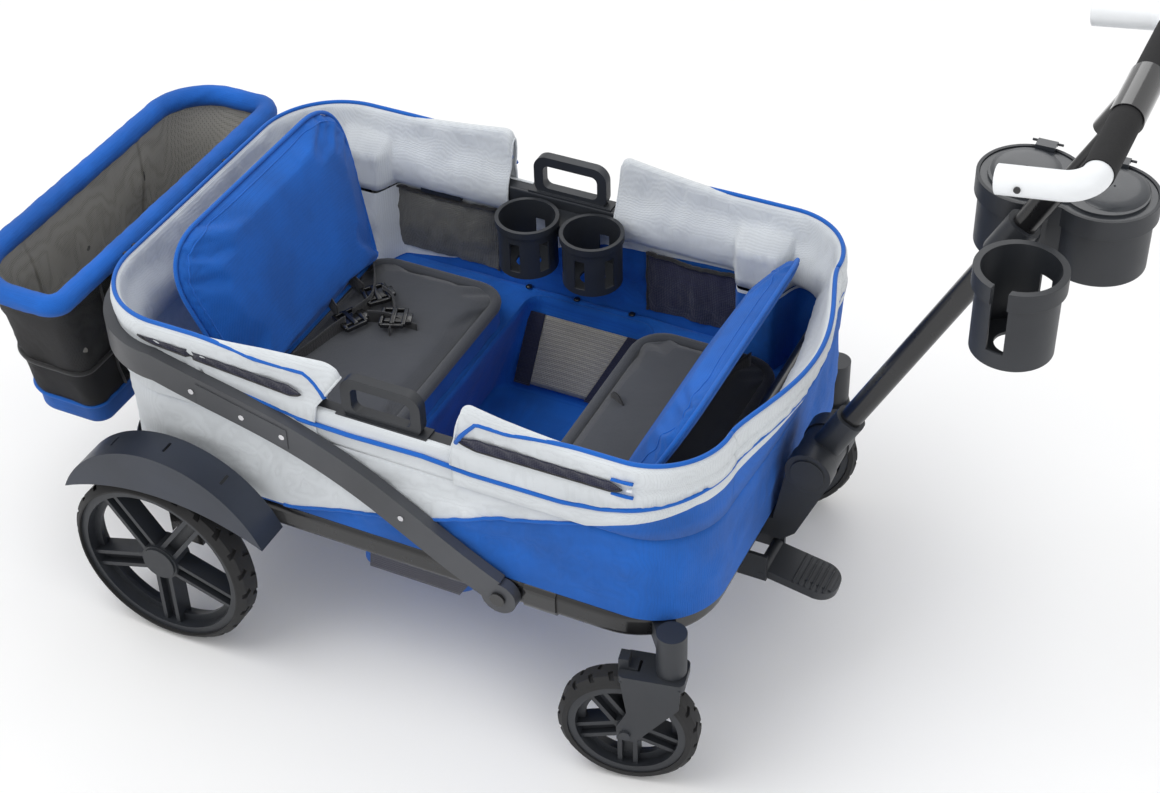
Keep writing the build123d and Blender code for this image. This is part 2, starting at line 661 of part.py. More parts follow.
# ---- storage basket ----
def basket_outline(z, grow):
    share = (z - BASKET_BOTTOM_Z) / (BASKET_RIM_Z - BASKET_BOTTOM_Z)
    rear = BASKET_BOTTOM[0] + (BASKET_REAR - BASKET_BOTTOM[0]) * share - grow
    front = BASKET_BOTTOM[1] + (BASKET_FRONT - BASKET_BOTTOM[1]) * share + grow
    half = BASKET_BOTTOM_HALF + (BASKET_HALF - BASKET_BOTTOM_HALF) * share + grow
    outline = Pos((rear + front) / 2, 0, z) * Rectangle(front - rear, 2 * half)
    outline = fillet(outline.vertices().group_by(Axis.X)[0], BASKET_CORNER * (0.5 + 0.4 * share))
    return fillet(outline.vertices().group_by(Axis.X)[-1], 22)


def basket_rim():
    path = basket_outline(BASKET_RIM_Z, 0).face().outer_wire()
    start = Plane(origin=path @ 0, z_dir=path % 0)
    outer = sweep(start * Circle(BASKET_RIM_R), path=path)
    return outer - sweep(start * Circle(BASKET_RIM_R - 6), path=path), outer


def basket_bag(rim_outer):
    """Open-topped bag of mesh and cloth under the rim."""
    outer = loft([basket_outline(BASKET_BOTTOM_Z, 0), basket_outline(BASKET_RIM_Z, 0)])
    inner = loft([basket_outline(BASKET_BOTTOM_Z + BASKET_WALL, -BASKET_WALL),
                  basket_outline(BASKET_RIM_Z + 1, -BASKET_WALL)])
    bag = outer - inner - rim_outer
    return max(bag.solids(), key=lambda one: one.volume)


def basket_hooks(rim_outer):
    """Knuckles on the basket's front edge that hang on the pins behind the hoop."""
    hooks = []
    for y in (-HOOK_Y, HOOK_Y):
        arm = box((BASKET_FRONT, HOOK_X), (y - 7, y + 7), (BASKET_RIM_Z - 5, BASKET_RIM_Z + 5)) - rim_outer
        knuckle = bar((HOOK_X, y - 7, BASKET_RIM_Z), (HOOK_X, y + 7, BASKET_RIM_Z), 7)
        hole = bar((HOOK_X, y - 9, BASKET_RIM_Z), (HOOK_X, y + 9, BASKET_RIM_Z), HOOK_PIN_R + RUN)
        hooks.append(max((arm + knuckle - hole).solids(), key=lambda one: one.volume))
    return hooks


def basket_lugs():
    """Ears with a pin on the rear face of the hoop."""
    lugs = []
    for y in (-HOOK_Y, HOOK_Y):
        for side in (-1, 1):
            span = sorted((y + side * (7 + GAP), y + side * 13))
            ear = box((HOOK_X - 6, TUB_REAR - HOOP_CLEAR - ARM_T), span, (BASKET_RIM_Z - 12, BASKET_RIM_Z + 7))
            lugs.append(ear - bar((HOOK_X, y - 20, BASKET_RIM_Z), (HOOK_X, y + 20, BASKET_RIM_Z), HOOK_PIN_R))
    return lugs


def basket_pins():
    return [bar((HOOK_X, y - 14, BASKET_RIM_Z), (HOOK_X, y + 14, BASKET_RIM_Z), HOOK_PIN_R)
            for y in (-HOOK_Y, HOOK_Y)]


# ---- handle hub ----
def hub_bracket(base_outer):
    """Arm from the front of the base tube up to two cheeks round the handle's barrel."""
    points = [(BASE_FRONT, 245), (751.5, 247), (752, 252), (768, HUB_Z), (HUB_X, HUB_Z), (824, 331), (782, 232),
              (764, 215), (BASE_FRONT, 215)]
    arm = side_plate(make_face(Polyline(*points, close=True)), -36, 36) - base_outer
    arm -= box((760, 900), (-BARREL_HALF - GAP, BARREL_HALF + GAP), (HUB_Z - HUB_R - 4, 400))
    body = arm + bar((HUB_X, -HUB_HALF, HUB_Z), (HUB_X, HUB_HALF, HUB_Z), HUB_R)
    body -= bar((HUB_X, -BARREL_HALF - GAP, HUB_Z), (HUB_X, BARREL_HALF + GAP, HUB_Z), HUB_R + 1)
    body -= bar((HUB_X, -HUB_HALF - 1, HUB_Z), (HUB_X, HUB_HALF + 1, HUB_Z), 8)
    return max(body.solids(), key=lambda one: one.volume)


def hub_axle():
    axle = bar((HUB_X, -HUB_HALF, HUB_Z), (HUB_X, HUB_HALF, HUB_Z), 8)
    for side in (-1, 1):
        axle += bar((HUB_X, side * HUB_HALF, HUB_Z), (HUB_X, side * (HUB_HALF + 2), HUB_Z), 22)
    return axle


def along(distance):
    """Plane across the handle at a distance from the hub axis, x fore-and-aft, z up the handle."""
    lean = radians(HANDLE_DEG)
    place = (HUB_X + distance * cos(lean), 0, HUB_Z + distance * sin(lean))
    return Plane(origin=place, x_dir=(sin(lean), 0, -cos(lean)), z_dir=(cos(lean), 0, sin(lean)))


def oval(depth, across):
    return RectangleRounded(depth, across, across * 0.42)


def handle_socket():
    barrel = bar((HUB_X, -BARREL_HALF, HUB_Z), (HUB_X, BARREL_HALF, HUB_Z), HUB_R - 2)
    sleeve = extrude(along(0) * oval(TUBE_DEPTH + 10, TUBE_ACROSS + 10), 78)
    socket = barrel + sleeve
    socket -= extrude(along(32) * oval(TUBE_DEPTH, TUBE_ACROSS), 80)
    return socket - bar((HUB_X, -50, HUB_Z), (HUB_X, 50, HUB_Z), 8 + RUN)


def lower_tube():
    tube = oval(TUBE_DEPTH, TUBE_ACROSS) - oval(TUBE_DEPTH - 3, TUBE_ACROSS - 3)
    return extrude(along(32) * tube, LOWER_END - 32)


def handle_bush():
    """Guide at the top of the lower tube for the inner tube."""
    plug = extrude(along(LOWER_END - 36) * oval(TUBE_DEPTH - 3, TUBE_ACROSS - 3), 36)
    flange = extrude(along(LOWER_END) * oval(TUBE_DEPTH + 4, TUBE_ACROSS + 4), 7)
    return plug + flange - extrude(along(LOWER_END - 40) * Circle(INNER_R + RUN), 60)


def inner_tube():
    length = HANDLE_LENGTH - 18 - INNER_START
    return extrude(along(INNER_START) * (Circle(INNER_R) - Circle(INNER_R - 1.5)), length)


def grip_core_path(side):
    corner = GRIP_HALF
    points = [(GRIP_X, 0, GRIP_Z), (GRIP_X, side * corner, GRIP_Z),
              (GRIP_X - ELBOW_LENGTH, side * corner, GRIP_Z - 12)]
    return FilletPolyline(*points, radius=GRIP_BEND)


def t_junction():
    """Moulded head at the top of the handle, with a blind bore for the release button."""
    stem = extrude(along(HANDLE_LENGTH - 52) * oval(34, 30), 52)
    cross = bar((GRIP_X, -44, GRIP_Z), (GRIP_X, 44, GRIP_Z), GRIP_R + 2)
    head = stem + cross - extrude(along(HANDLE_LENGTH - 60) * Circle(INNER_R), 42)
    head -= bar((GRIP_X, -60, GRIP_Z), (GRIP_X, -30, GRIP_Z), 11) + bar((GRIP_X, 30, GRIP_Z), (GRIP_X, 60, GRIP_Z), 11)
    return head - button_shape(RUN, 0, 40)


def button_shape(grow, inside, outside):
    """Release button's cylinder, square to the handle on its front face."""
    plane = along(HANDLE_LENGTH - 40)
    start = plane.origin + plane.x_dir * (11 + inside)
    return bar(tuple(start), tuple(plane.origin + plane.x_dir * outside), BUTTON_R + grow)


def grip_bar(side):
    """Metal core of one side of the grip, inside foam and elbow."""
    path = grip_core_path(side)
    start = Plane(origin=path @ 0, z_dir=path % 0)
    core = sweep(start * Circle(11), path=path) & box((0, 2000), sorted((side * 30, side * 400)), (0, 2000))
    return core


def foam_grip(side):
    y_range = sorted((side * 44.0, side * (GRIP_HALF - GRIP_BEND)))
    ring = bar((GRIP_X, y_range[0], GRIP_Z), (GRIP_X, y_range[1], GRIP_Z), GRIP_R)
    return ring - bar((GRIP_X, y_range[0] - 1, GRIP_Z), (GRIP_X, y_range[1] + 1, GRIP_Z), 11)


def elbow(side):
    """Pale moulded end of the grip: from the foam round the bend and back to a closed tip."""
    path = grip_core_path(side)
    start = Plane(origin=path @ 0, z_dir=path % 0)
    outer = sweep(start * Circle(GRIP_R - 1.5), path=path)
    end = path @ 1
    back = (path % 1) * 7
    outer += bar(tuple(end), tuple(end + back), GRIP_R - 1.5)
    outer &= box((0, 2000), sorted((side * (GRIP_HALF - GRIP_BEND), side * 400)), (0, 2000))
    return outer - sweep(start * Circle(11), path=path)


def elbow_screws():
    screws = []
    for side in (-1, 1):
        path = grip_core_path(side)
        place = path @ 0.93
        y = side * (GRIP_HALF + GRIP_R - 1.5)
        screws.append(bar((place.X, y, place.Z), (place.X, y + side * 2.2, place.Z), 3.5))
    return screws


# ---- cup holder and tray on the handle ----
def accessory_clamp():
    """Collar round the handle tube with an arm to the cup holder and one to the tray."""
    collar = extrude(along(CLAMP_AT) * oval(TUBE_DEPTH + 12, TUBE_ACROSS + 12), 52)
    arm_x = (HUB_X + CLAMP_AT * 0.466 + 4, HUB_X + CLAMP_AT * 0.466 + 34)
    arm_z = (TRAY_Z - 46, TRAY_Z - 27)
    cup_arm = box(arm_x, (CUP_Y + 30, -8), arm_z)
    tray_arm = box(arm_x, (8, TRAY_Y - 40), arm_z)
    body = collar + cup_arm + tray_arm
    body -= extrude(along(CLAMP_AT - 60) * oval(TUBE_DEPTH, TUBE_ACROSS), 180)
    body -= bar((CUP_X, CUP_Y, 0), (CUP_X, CUP_Y, 1000), CUP_R + CUP_WALL)
    body -= plate(tray_outline(0), 600, 800)
    return max(body.solids(), key=lambda one: one.volume)


def cup(centre, bore_r, wall, rim_z, height, lip, slot_turns):
    """Cup holder: a plain round bore with a floor, a thick lip and slots in its wall."""
    x, y = centre
    body = bar((x, y, rim_z - height), (x, y, rim_z), bore_r + wall)
    body += bar((x, y, rim_z - lip[1]), (x, y, rim_z), bore_r + wall + lip[0])
    body -= bar((x, y, rim_z - height + 4), (x, y, rim_z + 1), bore_r)
    body -= bar((x, y, rim_z - height - 1), (x, y, rim_z), bore_r * 0.45)
    for turn, low, high, width in slot_turns:
        slot = box((0, bore_r + wall + lip[0] + 2), (-width / 2, width / 2), (low, high))
        body -= Pos(x, y, rim_z) * Rot(0, 0, turn) * slot
    return body


def adult_cup():
    slots = ((-100, -84, 5, 20), (62, -82, -32, 17))
    return cup((CUP_X, CUP_Y), CUP_R, CUP_WALL, CUP_RIM_Z, CUP_HEIGHT, (5, 22), slots)


def tray_outline(grow):
    """Two round lobes joined by a slightly narrower waist."""
    radius = TRAY_LOBE_R - TRAY_LIP + grow
    waist = Pos(sum(TRAY_LOBES) / 2, TRAY_Y) * Rectangle(TRAY_LOBES[1] - TRAY_LOBES[0], 2 * (radius - 11))
    return Pos(TRAY_LOBES[0], TRAY_Y) * Circle(radius) + Pos(TRAY_LOBES[1], TRAY_Y) * Circle(radius) + waist


def snack_tray():
    """Two-lobed tray with a deep lip, a ledge for the lids and a wall between the lobes."""
    body = plate(tray_outline(0), TRAY_Z - TRAY_DEPTH, TRAY_Z)
    body += plate(tray_outline(TRAY_LIP), TRAY_Z - 24, TRAY_Z)
    hollow = plate(tray_outline(-TRAY_WALL), TRAY_Z - TRAY_DEPTH + TRAY_WALL, TRAY_Z + 1)
    middle = sum(TRAY_LOBES) / 2
    hollow -= box((middle - 1.5, middle + 1.5), (0, 200), (0, TRAY_Z - LID_T - 2))
    body -= hollow
    body -= plate(tray_outline(1), TRAY_Z - LID_T - 2, TRAY_Z + 1)
    for x in TRAY_LOBES:
        for end in (-1, 1):
            x_range = sorted((x + end * 12, x + end * 18))
            ear = box(x_range, (LID_HINGE_Y - 3, LID_HINGE_Y + 3), (TRAY_Z - 6, LID_HINGE_Z + 3))
            ear -= plate(tray_outline(1), TRAY_Z - LID_T - 2, TRAY_Z + 20)
            body += ear - bar((x - 30, LID_HINGE_Y, LID_HINGE_Z), (x + 30, LID_HINGE_Y, LID_HINGE_Z), 1.5)
    return max(body.solids(), key=lambda one: one.volume)


def tray_lid(lobe):
    """One lid: half of the tray's outline with a shallow crown and a knuckle at its outer edge."""
    x = TRAY_LOBES[lobe]
    middle = sum(TRAY_LOBES) / 2
    half = box((middle + GAP, 2000) if lobe else (0, middle - GAP), (-500, 500), (0, 2000))
    base = TRAY_Z - LID_T - 1.5
    lid = plate(tray_outline(0.5), base, base + LID_T) & half
    crown = plate(tray_outline(-8), base + LID_T, base + LID_T + 3) & half
    knuckle = bar((x - 11.5, LID_HINGE_Y, LID_HINGE_Z), (x + 11.5, LID_HINGE_Y, LID_HINGE_Z), 3)
    edge = TRAY_Y + TRAY_LOBE_R - TRAY_LIP - 3
    tongue = box((x - 11.5, x + 11.5), (edge, LID_HINGE_Y), (LID_HINGE_Z, LID_HINGE_Z + 3))
    rise = box((x - 11.5, x + 11.5), (edge - 4, edge), (base + LID_T - 1, LID_HINGE_Z + 3))
    lid = lid + crown + knuckle + tongue + rise
    return lid - bar((x - 30, LID_HINGE_Y, LID_HINGE_Z), (x + 30, LID_HINGE_Y, LID_HINGE_Z), 1.5 + RUN)


def lid_pins():
    return [bar((x - 18, LID_HINGE_Y, LID_HINGE_Z), (x + 18, LID_HINGE_Y, LID_HINGE_Z), 1.5) for x in TRAY_LOBES]


def child_cups(rail_outer):
    """Pair of cups in one moulding that hooks over the left rail."""
    body = None
    for x in CHILD_CUPS:
        slots = [(turn, -68, -22, 15) for turn in (-150, -90, -30, 90)]
        one = cup((x, CHILD_CUP_Y), CHILD_CUP_R, 2.5, CHILD_CUP_RIM_Z, CHILD_CUP_HEIGHT, (3, 10), slots)
        body = one if body is None else body + one
    hook_x = (CHILD_CUPS[0] - 10, CHILD_CUPS[1] + 10)
    top = CHILD_CUP_RIM_Z
    hook = box(hook_x, (CHILD_CUP_Y + 10, RAIL_Y - RAIL_R + 2), (top - 30, top - 12))
    body += hook - rail_outer
    for x in CHILD_CUPS:
        body -= bar((x, CHILD_CUP_Y, top - CHILD_CUP_HEIGHT + 4), (x, CHILD_CUP_Y, top + 1), CHILD_CUP_R)
    return max(body.solids(), key=lambda one: one.volume)


# ---- brake ----
def pedal_bracket(base_outer):
    ears = []
    for side in (-1, 1):
        y = PEDAL_Y + side * (PEDAL_HALF + GAP + 2.5)
        top = BASE_Z - TUBE_H / 2 + 3
        ear = box((BASE_FRONT - 8, PEDAL_X + 8), (y - 2.5, y + 2.5), (PEDAL_Z - 9, top)) - base_outer
        ears.append(ear - bar((PEDAL_X, -90, PEDAL_Z), (PEDAL_X, 90, PEDAL_Z), 4))
    return ears


def pedal_pin():
    return bar((PEDAL_X, PEDAL_Y - PEDAL_HALF - 6, PEDAL_Z), (PEDAL_X, PEDAL_Y + PEDAL_HALF + 6, PEDAL_Z), 4)


def brake_pedal():
    """Foot pedal with a rounded, ridged toe."""
    toe = 96
    outline = Pos(toe / 2 - 4, 0) * Rectangle(toe + 8, 2 * PEDAL_HALF)
    outline = fillet(outline.vertices().group_by(Axis.X)[-1], PEDAL_HALF - 3)
    body = plate(outline, -7, 5)
    for k in range(5):
        body += box((toe - 42 + 8 * k, toe - 38 + 8 * k), (-PEDAL_HALF + 12, PEDAL_HALF - 12), (5, 6.5))
    body += bar((0, -PEDAL_HALF, 0), (0, PEDAL_HALF, 0), 8)
    body -= bar((0, -PEDAL_HALF - 1, 0), (0, PEDAL_HALF + 1, 0), 4 + RUN)
    return Pos(PEDAL_X, PEDAL_Y, PEDAL_Z) * Rot(0, 10, 0) * body


def brake_pin(side):
    z = REAR_R + BRAKE_RING
    reach = REAR_FACE_Y - REAR_WIDTH + 2
    return bar((0, side * (BASE_Y - 16), z), (0, side * reach, z), BRAKE_PIN_R)


# ---- build and write every node ----
def build():
    base, base_outer = base_tube()
    rail, rail_outer = upper_rail()
    sides = (1, -1)
    save("base_tube", base)
    save("base_fittings", *tube_collars(base_outer), *post_sleeves(base_outer))
    save("seat_frame", *cross_tubes(base_outer), *seat_brackets())
    axle_end = REAR_FACE_Y - 6.5
    save("rear_axle", bar((0, -axle_end, REAR_R), (0, axle_end, REAR_R), AXLE_R))
    save("axle_brackets", *[axle_bracket(side, base_outer) for side in sides])
    save("fenders", *[fender(side) for side in sides], *[fender_bracket(side) for side in sides])
    save("caster_housings", *[caster_housing(side, base_outer) for side in sides])
    save("fold_pivots", *fold_pivots())
    save("hub_bracket", hub_bracket(base_outer), hub_axle())
    save("pedal_bracket", *pedal_bracket(base_outer), pedal_pin())
    save("brake_pedal", brake_pedal())
    for side, name in ((1, "left"), (-1, "right")):
        rim, rubber = rear_wheel(side)
        save(f"{name}_rear_wheel", rim, wheel_cap(side))
        save(f"{name}_rear_tyre", rubber)
        save(f"{name}_caster_fork", caster_fork(side), caster_bolt(side))
        rim, rubber = caster_wheel(side)
        save(f"{name}_caster_wheel", rim)
        save(f"{name}_caster_tyre", rubber)
        save(f"{name}_swivel_lock", swivel_lock(side))
        save(f"{name}_brake_pin", brake_pin(side))
    save("link_frame", link_frame(), *coupling_shells())
    save("link_hardware", *link_rivets(), *coupling_pins())
    save("upper_rail", rail)
    save("rail_brackets", *slot_brackets(rail_outer), *post_clamps(rail_outer))
    save("post_tubes", *post_tubes())
    save("carry_handles", *[carry_handle(side, rail_outer) for side in sides])
    save("child_cup_holder", child_cups(rail_outer))
    straight = (FRONT_CORNER, TUB_FRONT - FRONT_CORNER)
    save("side_walls", *[lower_wall(straight, side) for side in sides])
    save("rear_wall", lower_wall((TUB_REAR - 1, straight[0])))
    save("front_wall", lower_wall((straight[1], TUB_FRONT + 1)))
    save("rear_rim", ring_part(RIM_LOW, RIM_Z, RIM_OUT, RIM_IN, (TUB_REAR - 9, FLAP_GAP[0])))
    save("front_rim", ring_part(RIM_LOW, RIM_Z, RIM_OUT, RIM_IN, (FLAP_GAP[1], TUB_FRONT + 9)))
    for name, span in (("rear", REAR_SEAT), ("front", FRONT_SEAT)):
        save(f"{name}_seat", seat_pan(span), seat_pad(span))
    save("rear_back", back_board(REAR_BACK, 1), back_pad(REAR_BACK, 1))
    save("front_back", back_board(FRONT_BACK, -1), back_pad(FRONT_BACK, -1))
    save("footwell", footwell())
    save("footwell_board", footwell_board())
    rim, rim_outer = basket_rim()
    save("basket_rim", rim, *basket_hooks(rim_outer))
    save("basket_bag", basket_bag(rim_outer))
    save("basket_lugs", *basket_lugs(), *basket_pins())
    save("handle_socket", handle_socket())
    save("handle_lower_tube", lower_tube())
    save("handle_bush", handle_bush())
    save("handle_inner_tube", inner_tube())
    save("handle_head", t_junction())
    save("release_button", button_shape(0, 4, 24))
    save("grip_core", *[grip_bar(side) for side in sides], *elbow_screws())
    save("foam_grips", *[foam_grip(side) for side in sides])
    save("grip_elbows", *[elbow(side) for side in sides])
    save("accessory_clamp", accessory_clamp())
    save("adult_cup_holder", adult_cup())
    save("snack_tray", snack_tray(), *lid_pins())
    save("rear_tray_lid", tray_lid(0))
    save("front_tray_lid", tray_lid(1))


build()
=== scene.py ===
import json
import math
import bpy
import bmesh
import numpy as np
from mathutils.bvhtree import BVHTree
from mathutils import Matrix, Vector, noise


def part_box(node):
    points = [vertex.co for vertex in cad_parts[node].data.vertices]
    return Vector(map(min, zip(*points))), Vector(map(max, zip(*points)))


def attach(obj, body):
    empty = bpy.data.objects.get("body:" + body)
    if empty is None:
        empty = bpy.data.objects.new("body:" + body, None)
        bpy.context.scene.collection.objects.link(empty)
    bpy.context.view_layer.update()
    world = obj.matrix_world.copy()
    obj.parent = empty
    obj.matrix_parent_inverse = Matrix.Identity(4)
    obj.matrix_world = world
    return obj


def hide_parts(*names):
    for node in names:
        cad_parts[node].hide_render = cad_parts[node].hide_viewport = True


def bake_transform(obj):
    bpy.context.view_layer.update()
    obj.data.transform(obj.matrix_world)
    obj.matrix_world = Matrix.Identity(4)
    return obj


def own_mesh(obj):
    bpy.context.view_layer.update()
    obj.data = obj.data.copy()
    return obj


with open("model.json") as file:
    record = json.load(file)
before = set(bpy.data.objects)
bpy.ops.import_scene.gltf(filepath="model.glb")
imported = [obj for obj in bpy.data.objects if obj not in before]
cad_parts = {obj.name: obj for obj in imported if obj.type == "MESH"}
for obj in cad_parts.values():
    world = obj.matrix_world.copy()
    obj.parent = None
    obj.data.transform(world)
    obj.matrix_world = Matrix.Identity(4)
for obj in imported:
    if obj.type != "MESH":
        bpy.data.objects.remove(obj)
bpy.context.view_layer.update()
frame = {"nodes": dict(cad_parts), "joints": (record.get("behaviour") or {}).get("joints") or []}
noise.seed_set(7)

# ---- places read from the frame ----
SIDES = ((-1, "right"), (1, "left"))
RAIL_CLEAR = 0.0015  # between the rail and the outside of the cloth
AXLE = sum(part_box("rear_axle"), Vector()) / 2
RAIL_LOW, RAIL_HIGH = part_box("upper_rail")
TUB_REAR, TUB_FRONT = RAIL_LOW.x - RAIL_CLEAR - AXLE.x, RAIL_HIGH.x + RAIL_CLEAR - AXLE.x
TUB_Y = RAIL_HIGH.y + RAIL_CLEAR
SEAT_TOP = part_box("rear_seat")[1].z
JOINT = {j["name"]: j for j in frame["joints"]}


def P(x, y, z):
    """Point with x measured from the rear axle."""
    return Vector((AXLE.x + x, y, z))


# ---- materials ----
def nodes_of(name):
    """New material, its node tree and its shader."""
    m = bpy.data.materials.new(name)
    m.use_nodes = True
    tree = m.node_tree
    return m, tree, tree.nodes["Principled BSDF"]


def add(tree, kind, **values):
    """New node with the given inputs and settings."""
    node = tree.nodes.new(kind)
    for key, value in values.items():
        if key in node.inputs.keys():
            node.inputs[key].default_value = value
        else:
            setattr(node, key, value)
    return node


def noise_of(tree, scale, detail):
    """Soft noise in the object's own place."""
    where = tree.nodes.get("Place") or add(tree, "ShaderNodeTexCoord", name="Place")
    grain = add(tree, "ShaderNodeTexNoise")
    grain.inputs["Scale"].default_value = scale
    grain.inputs["Detail"].default_value = detail
    grain.inputs["Roughness"].default_value = 0.55
    tree.links.new(where.outputs["Object"], grain.inputs["Vector"])
    return grain.outputs["Fac"]


def ramp_colour(tree, fac, low, high, at=(0.35, 0.65)):
    """Colour between two, by a factor."""
    ramp = add(tree, "ShaderNodeValToRGB")
    ramp.color_ramp.elements[0].position, ramp.color_ramp.elements[1].position = at
    ramp.color_ramp.elements[0].color = (*low, 1)
    ramp.color_ramp.elements[1].color = (*high, 1)
    tree.links.new(fac, ramp.inputs["Fac"])
    return ramp.outputs["Color"]


def shade(colour, k):
    return tuple(min(1.0, c * k) for c in colour)


WAVES = 0.314  # wave scale that gives one band in a metre


def weave_of(tree, pitch, distortion=0.6):
    """Sum of three fine waves along the axes: a cross weave on any face."""
    where = tree.nodes.get("Place") or add(tree, "ShaderNodeTexCoord", name="Place")
    total = None
    for axis in "XYZ":
        wave = add(tree, "ShaderNodeTexWave", wave_type="BANDS", bands_direction=axis)
        wave.inputs["Scale"].default_value = WAVES / pitch
        wave.inputs["Distortion"].default_value = distortion
        wave.inputs["Detail Scale"].default_value = 2.0
        tree.links.new(where.outputs["Object"], wave.inputs["Vector"])
        if total is None:
            total = wave.outputs["Fac"]
        else:
            plus = add(tree, "ShaderNodeMath", operation="ADD")
            tree.links.new(total, plus.inputs[0])
            tree.links.new(wave.outputs["Fac"], plus.inputs[1])
            total = plus.outputs[0]
    return total


def bump(tree, shader, height, distance, strength, bevel=0.0):
    """Adds a relief on top of those the material has already."""
    node = add(tree, "ShaderNodeBump", Strength=strength, Distance=distance)
    tree.links.new(height, node.inputs["Height"])
    last = tree.nodes.get("LastBump")
    if last:
        tree.links.new(last.outputs["Normal"], node.inputs["Normal"])
        last.name = "Bump"
    elif bevel:
        edge = add(tree, "ShaderNodeBevel", Radius=bevel)
        edge.samples = 3
        tree.links.new(edge.outputs["Normal"], node.inputs["Normal"])
    node.name = "LastBump"
    tree.links.new(node.outputs["Normal"], shader.inputs["Normal"])


def cloth_material(name, colour, pitch=0.0016, rough=0.85, sheen=0.25, fade=0.82, relief=0.0004):
    m, tree, shader = nodes_of(name)
    colour_out = ramp_colour(tree, noise_of(tree, 9, 4), shade(colour, fade), colour)
    fine = ramp_colour(tree, weave_of(tree, pitch), (0.80, 0.80, 0.80), (1, 1, 1), (0.6, 1.9))
    mix = add(tree, "ShaderNodeMix", data_type="RGBA", blend_type="MULTIPLY")
    mix.inputs[0].default_value = 0.8
    tree.links.new(colour_out, mix.inputs[6])
    tree.links.new(fine, mix.inputs[7])
    tree.links.new(mix.outputs[2], shader.inputs["Base Color"])
    shader.inputs["Roughness"].default_value = rough
    shader.inputs["Sheen Weight"].default_value = sheen
    shader.inputs["Sheen Roughness"].default_value = 0.5
    bump(tree, shader, noise_of(tree, 55, 4), 0.0015, 0.35)
    bump(tree, shader, weave_of(tree, pitch), relief, 0.5)
    return m


def net_material(name, colour, pitch, share):
    """Fine net: a tight weave of threads that lets part of the light through."""
    m, tree, shader = nodes_of(name)
    shader.inputs["Roughness"].default_value = 0.8
    fine = ramp_colour(tree, weave_of(tree, pitch, 0.0), shade(colour, 0.45), colour, (0.5, 1.9))
    tree.links.new(fine, shader.inputs["Base Color"])
    shader.inputs["Alpha"].default_value = share
    bump(tree, shader, weave_of(tree, pitch, 0.0), 0.0008, 0.5)
    return m


def plastic_material(name, colour, rough=0.5, grain=0.0003, coat=0.0, scale=900, edge=0.0007, wear=0.75):
    m, tree, shader = nodes_of(name)
    tone = ramp_colour(tree, noise_of(tree, 6, 5), shade(colour, wear), shade(colour, 1.1))
    tree.links.new(tone, shader.inputs["Base Color"])
    mottled = add(tree, "ShaderNodeMapRange")
    mottled.inputs["To Min"].default_value = max(0.05, rough - 0.07)
    mottled.inputs["To Max"].default_value = min(1, rough + 0.09)
    tree.links.new(noise_of(tree, 40, 4), mottled.inputs["Value"])
    tree.links.new(mottled.outputs["Result"], shader.inputs["Roughness"])
    shader.inputs["Coat Weight"].default_value = coat
    bump(tree, shader, noise_of(tree, scale, 2), grain, 0.25, bevel=edge)
    return m


def metal_material(name, colour):
    m = plastic_material(name, colour, 0.25, 0.0001, wear=0.9)
    m.node_tree.nodes["Principled BSDF"].inputs["Metallic"].default_value = 1.0
    return m


BLUE = cloth_material("cloth_blue", (0.0, 0.115, 0.52), fade=0.72, sheen=0.06)
BLUE_TRIM = cloth_material("cloth_blue_trim", (0.0, 0.125, 0.56), pitch=0.0009, fade=0.9, sheen=0.1)
GREY = cloth_material("cloth_grey", (0.70, 0.735, 0.765), fade=0.9, sheen=0.15)
DARK = cloth_material("cloth_charcoal", (0.046, 0.050, 0.060), pitch=0.0013, fade=0.85)
BLACK = cloth_material("webbing_black", (0.013, 0.013, 0.015), pitch=0.0011, rough=0.7)
DARK_NET = net_material("net_black", (0.012, 0.012, 0.015), pitch=0.0024, share=0.80)
BROWN_NET = net_material("net_taupe", (0.31, 0.30, 0.27), pitch=0.0026, share=0.88)
NAVY = cloth_material("cloth_navy", (0.010, 0.012, 0.040), pitch=0.0022, fade=0.6, relief=0.0009)
TAN = cloth_material("mesh_tan", (0.36, 0.34, 0.29), pitch=0.0026, fade=0.85, relief=0.0012)
POCKET_GREY = cloth_material("mesh_pocket_grey", (0.13, 0.13, 0.12), pitch=0.0026, fade=0.7, relief=0.0012)
POCKET_NAVY = cloth_material("mesh_pocket_navy", (0.012, 0.014, 0.050), pitch=0.0026, fade=0.6, relief=0.0012)
CHARCOAL = plastic_material("plastic_charcoal", (0.022, 0.025, 0.031), 0.45)
NAVY_PLASTIC = plastic_material("plastic_navy_charcoal", (0.022, 0.028, 0.044), 0.40)
LINK = plastic_material("link_grey", (0.055, 0.058, 0.066), 0.42)
BLACK_PAINT = plastic_material("paint_black", (0.006, 0.006, 0.007), 0.28, 0.0001, coat=0.3)
GLOSS = plastic_material("gloss_black", (0.010, 0.010, 0.011), 0.16, 0.00005, coat=0.5)
WHITE = plastic_material("plastic_white", (0.78, 0.80, 0.82), 0.35, 0.0001, wear=0.95)
RUBBER = plastic_material("tyre_rubber", (0.014, 0.014, 0.015), 0.72, 0.0005, scale=500)
FOAM = plastic_material("grip_foam", (0.012, 0.012, 0.013), 0.92, 0.0012, scale=420, edge=0)
STEEL = metal_material("steel", (0.62, 0.62, 0.64))
LID = plastic_material("lid_grey", (0.030, 0.034, 0.041), 0.34, coat=0.2)

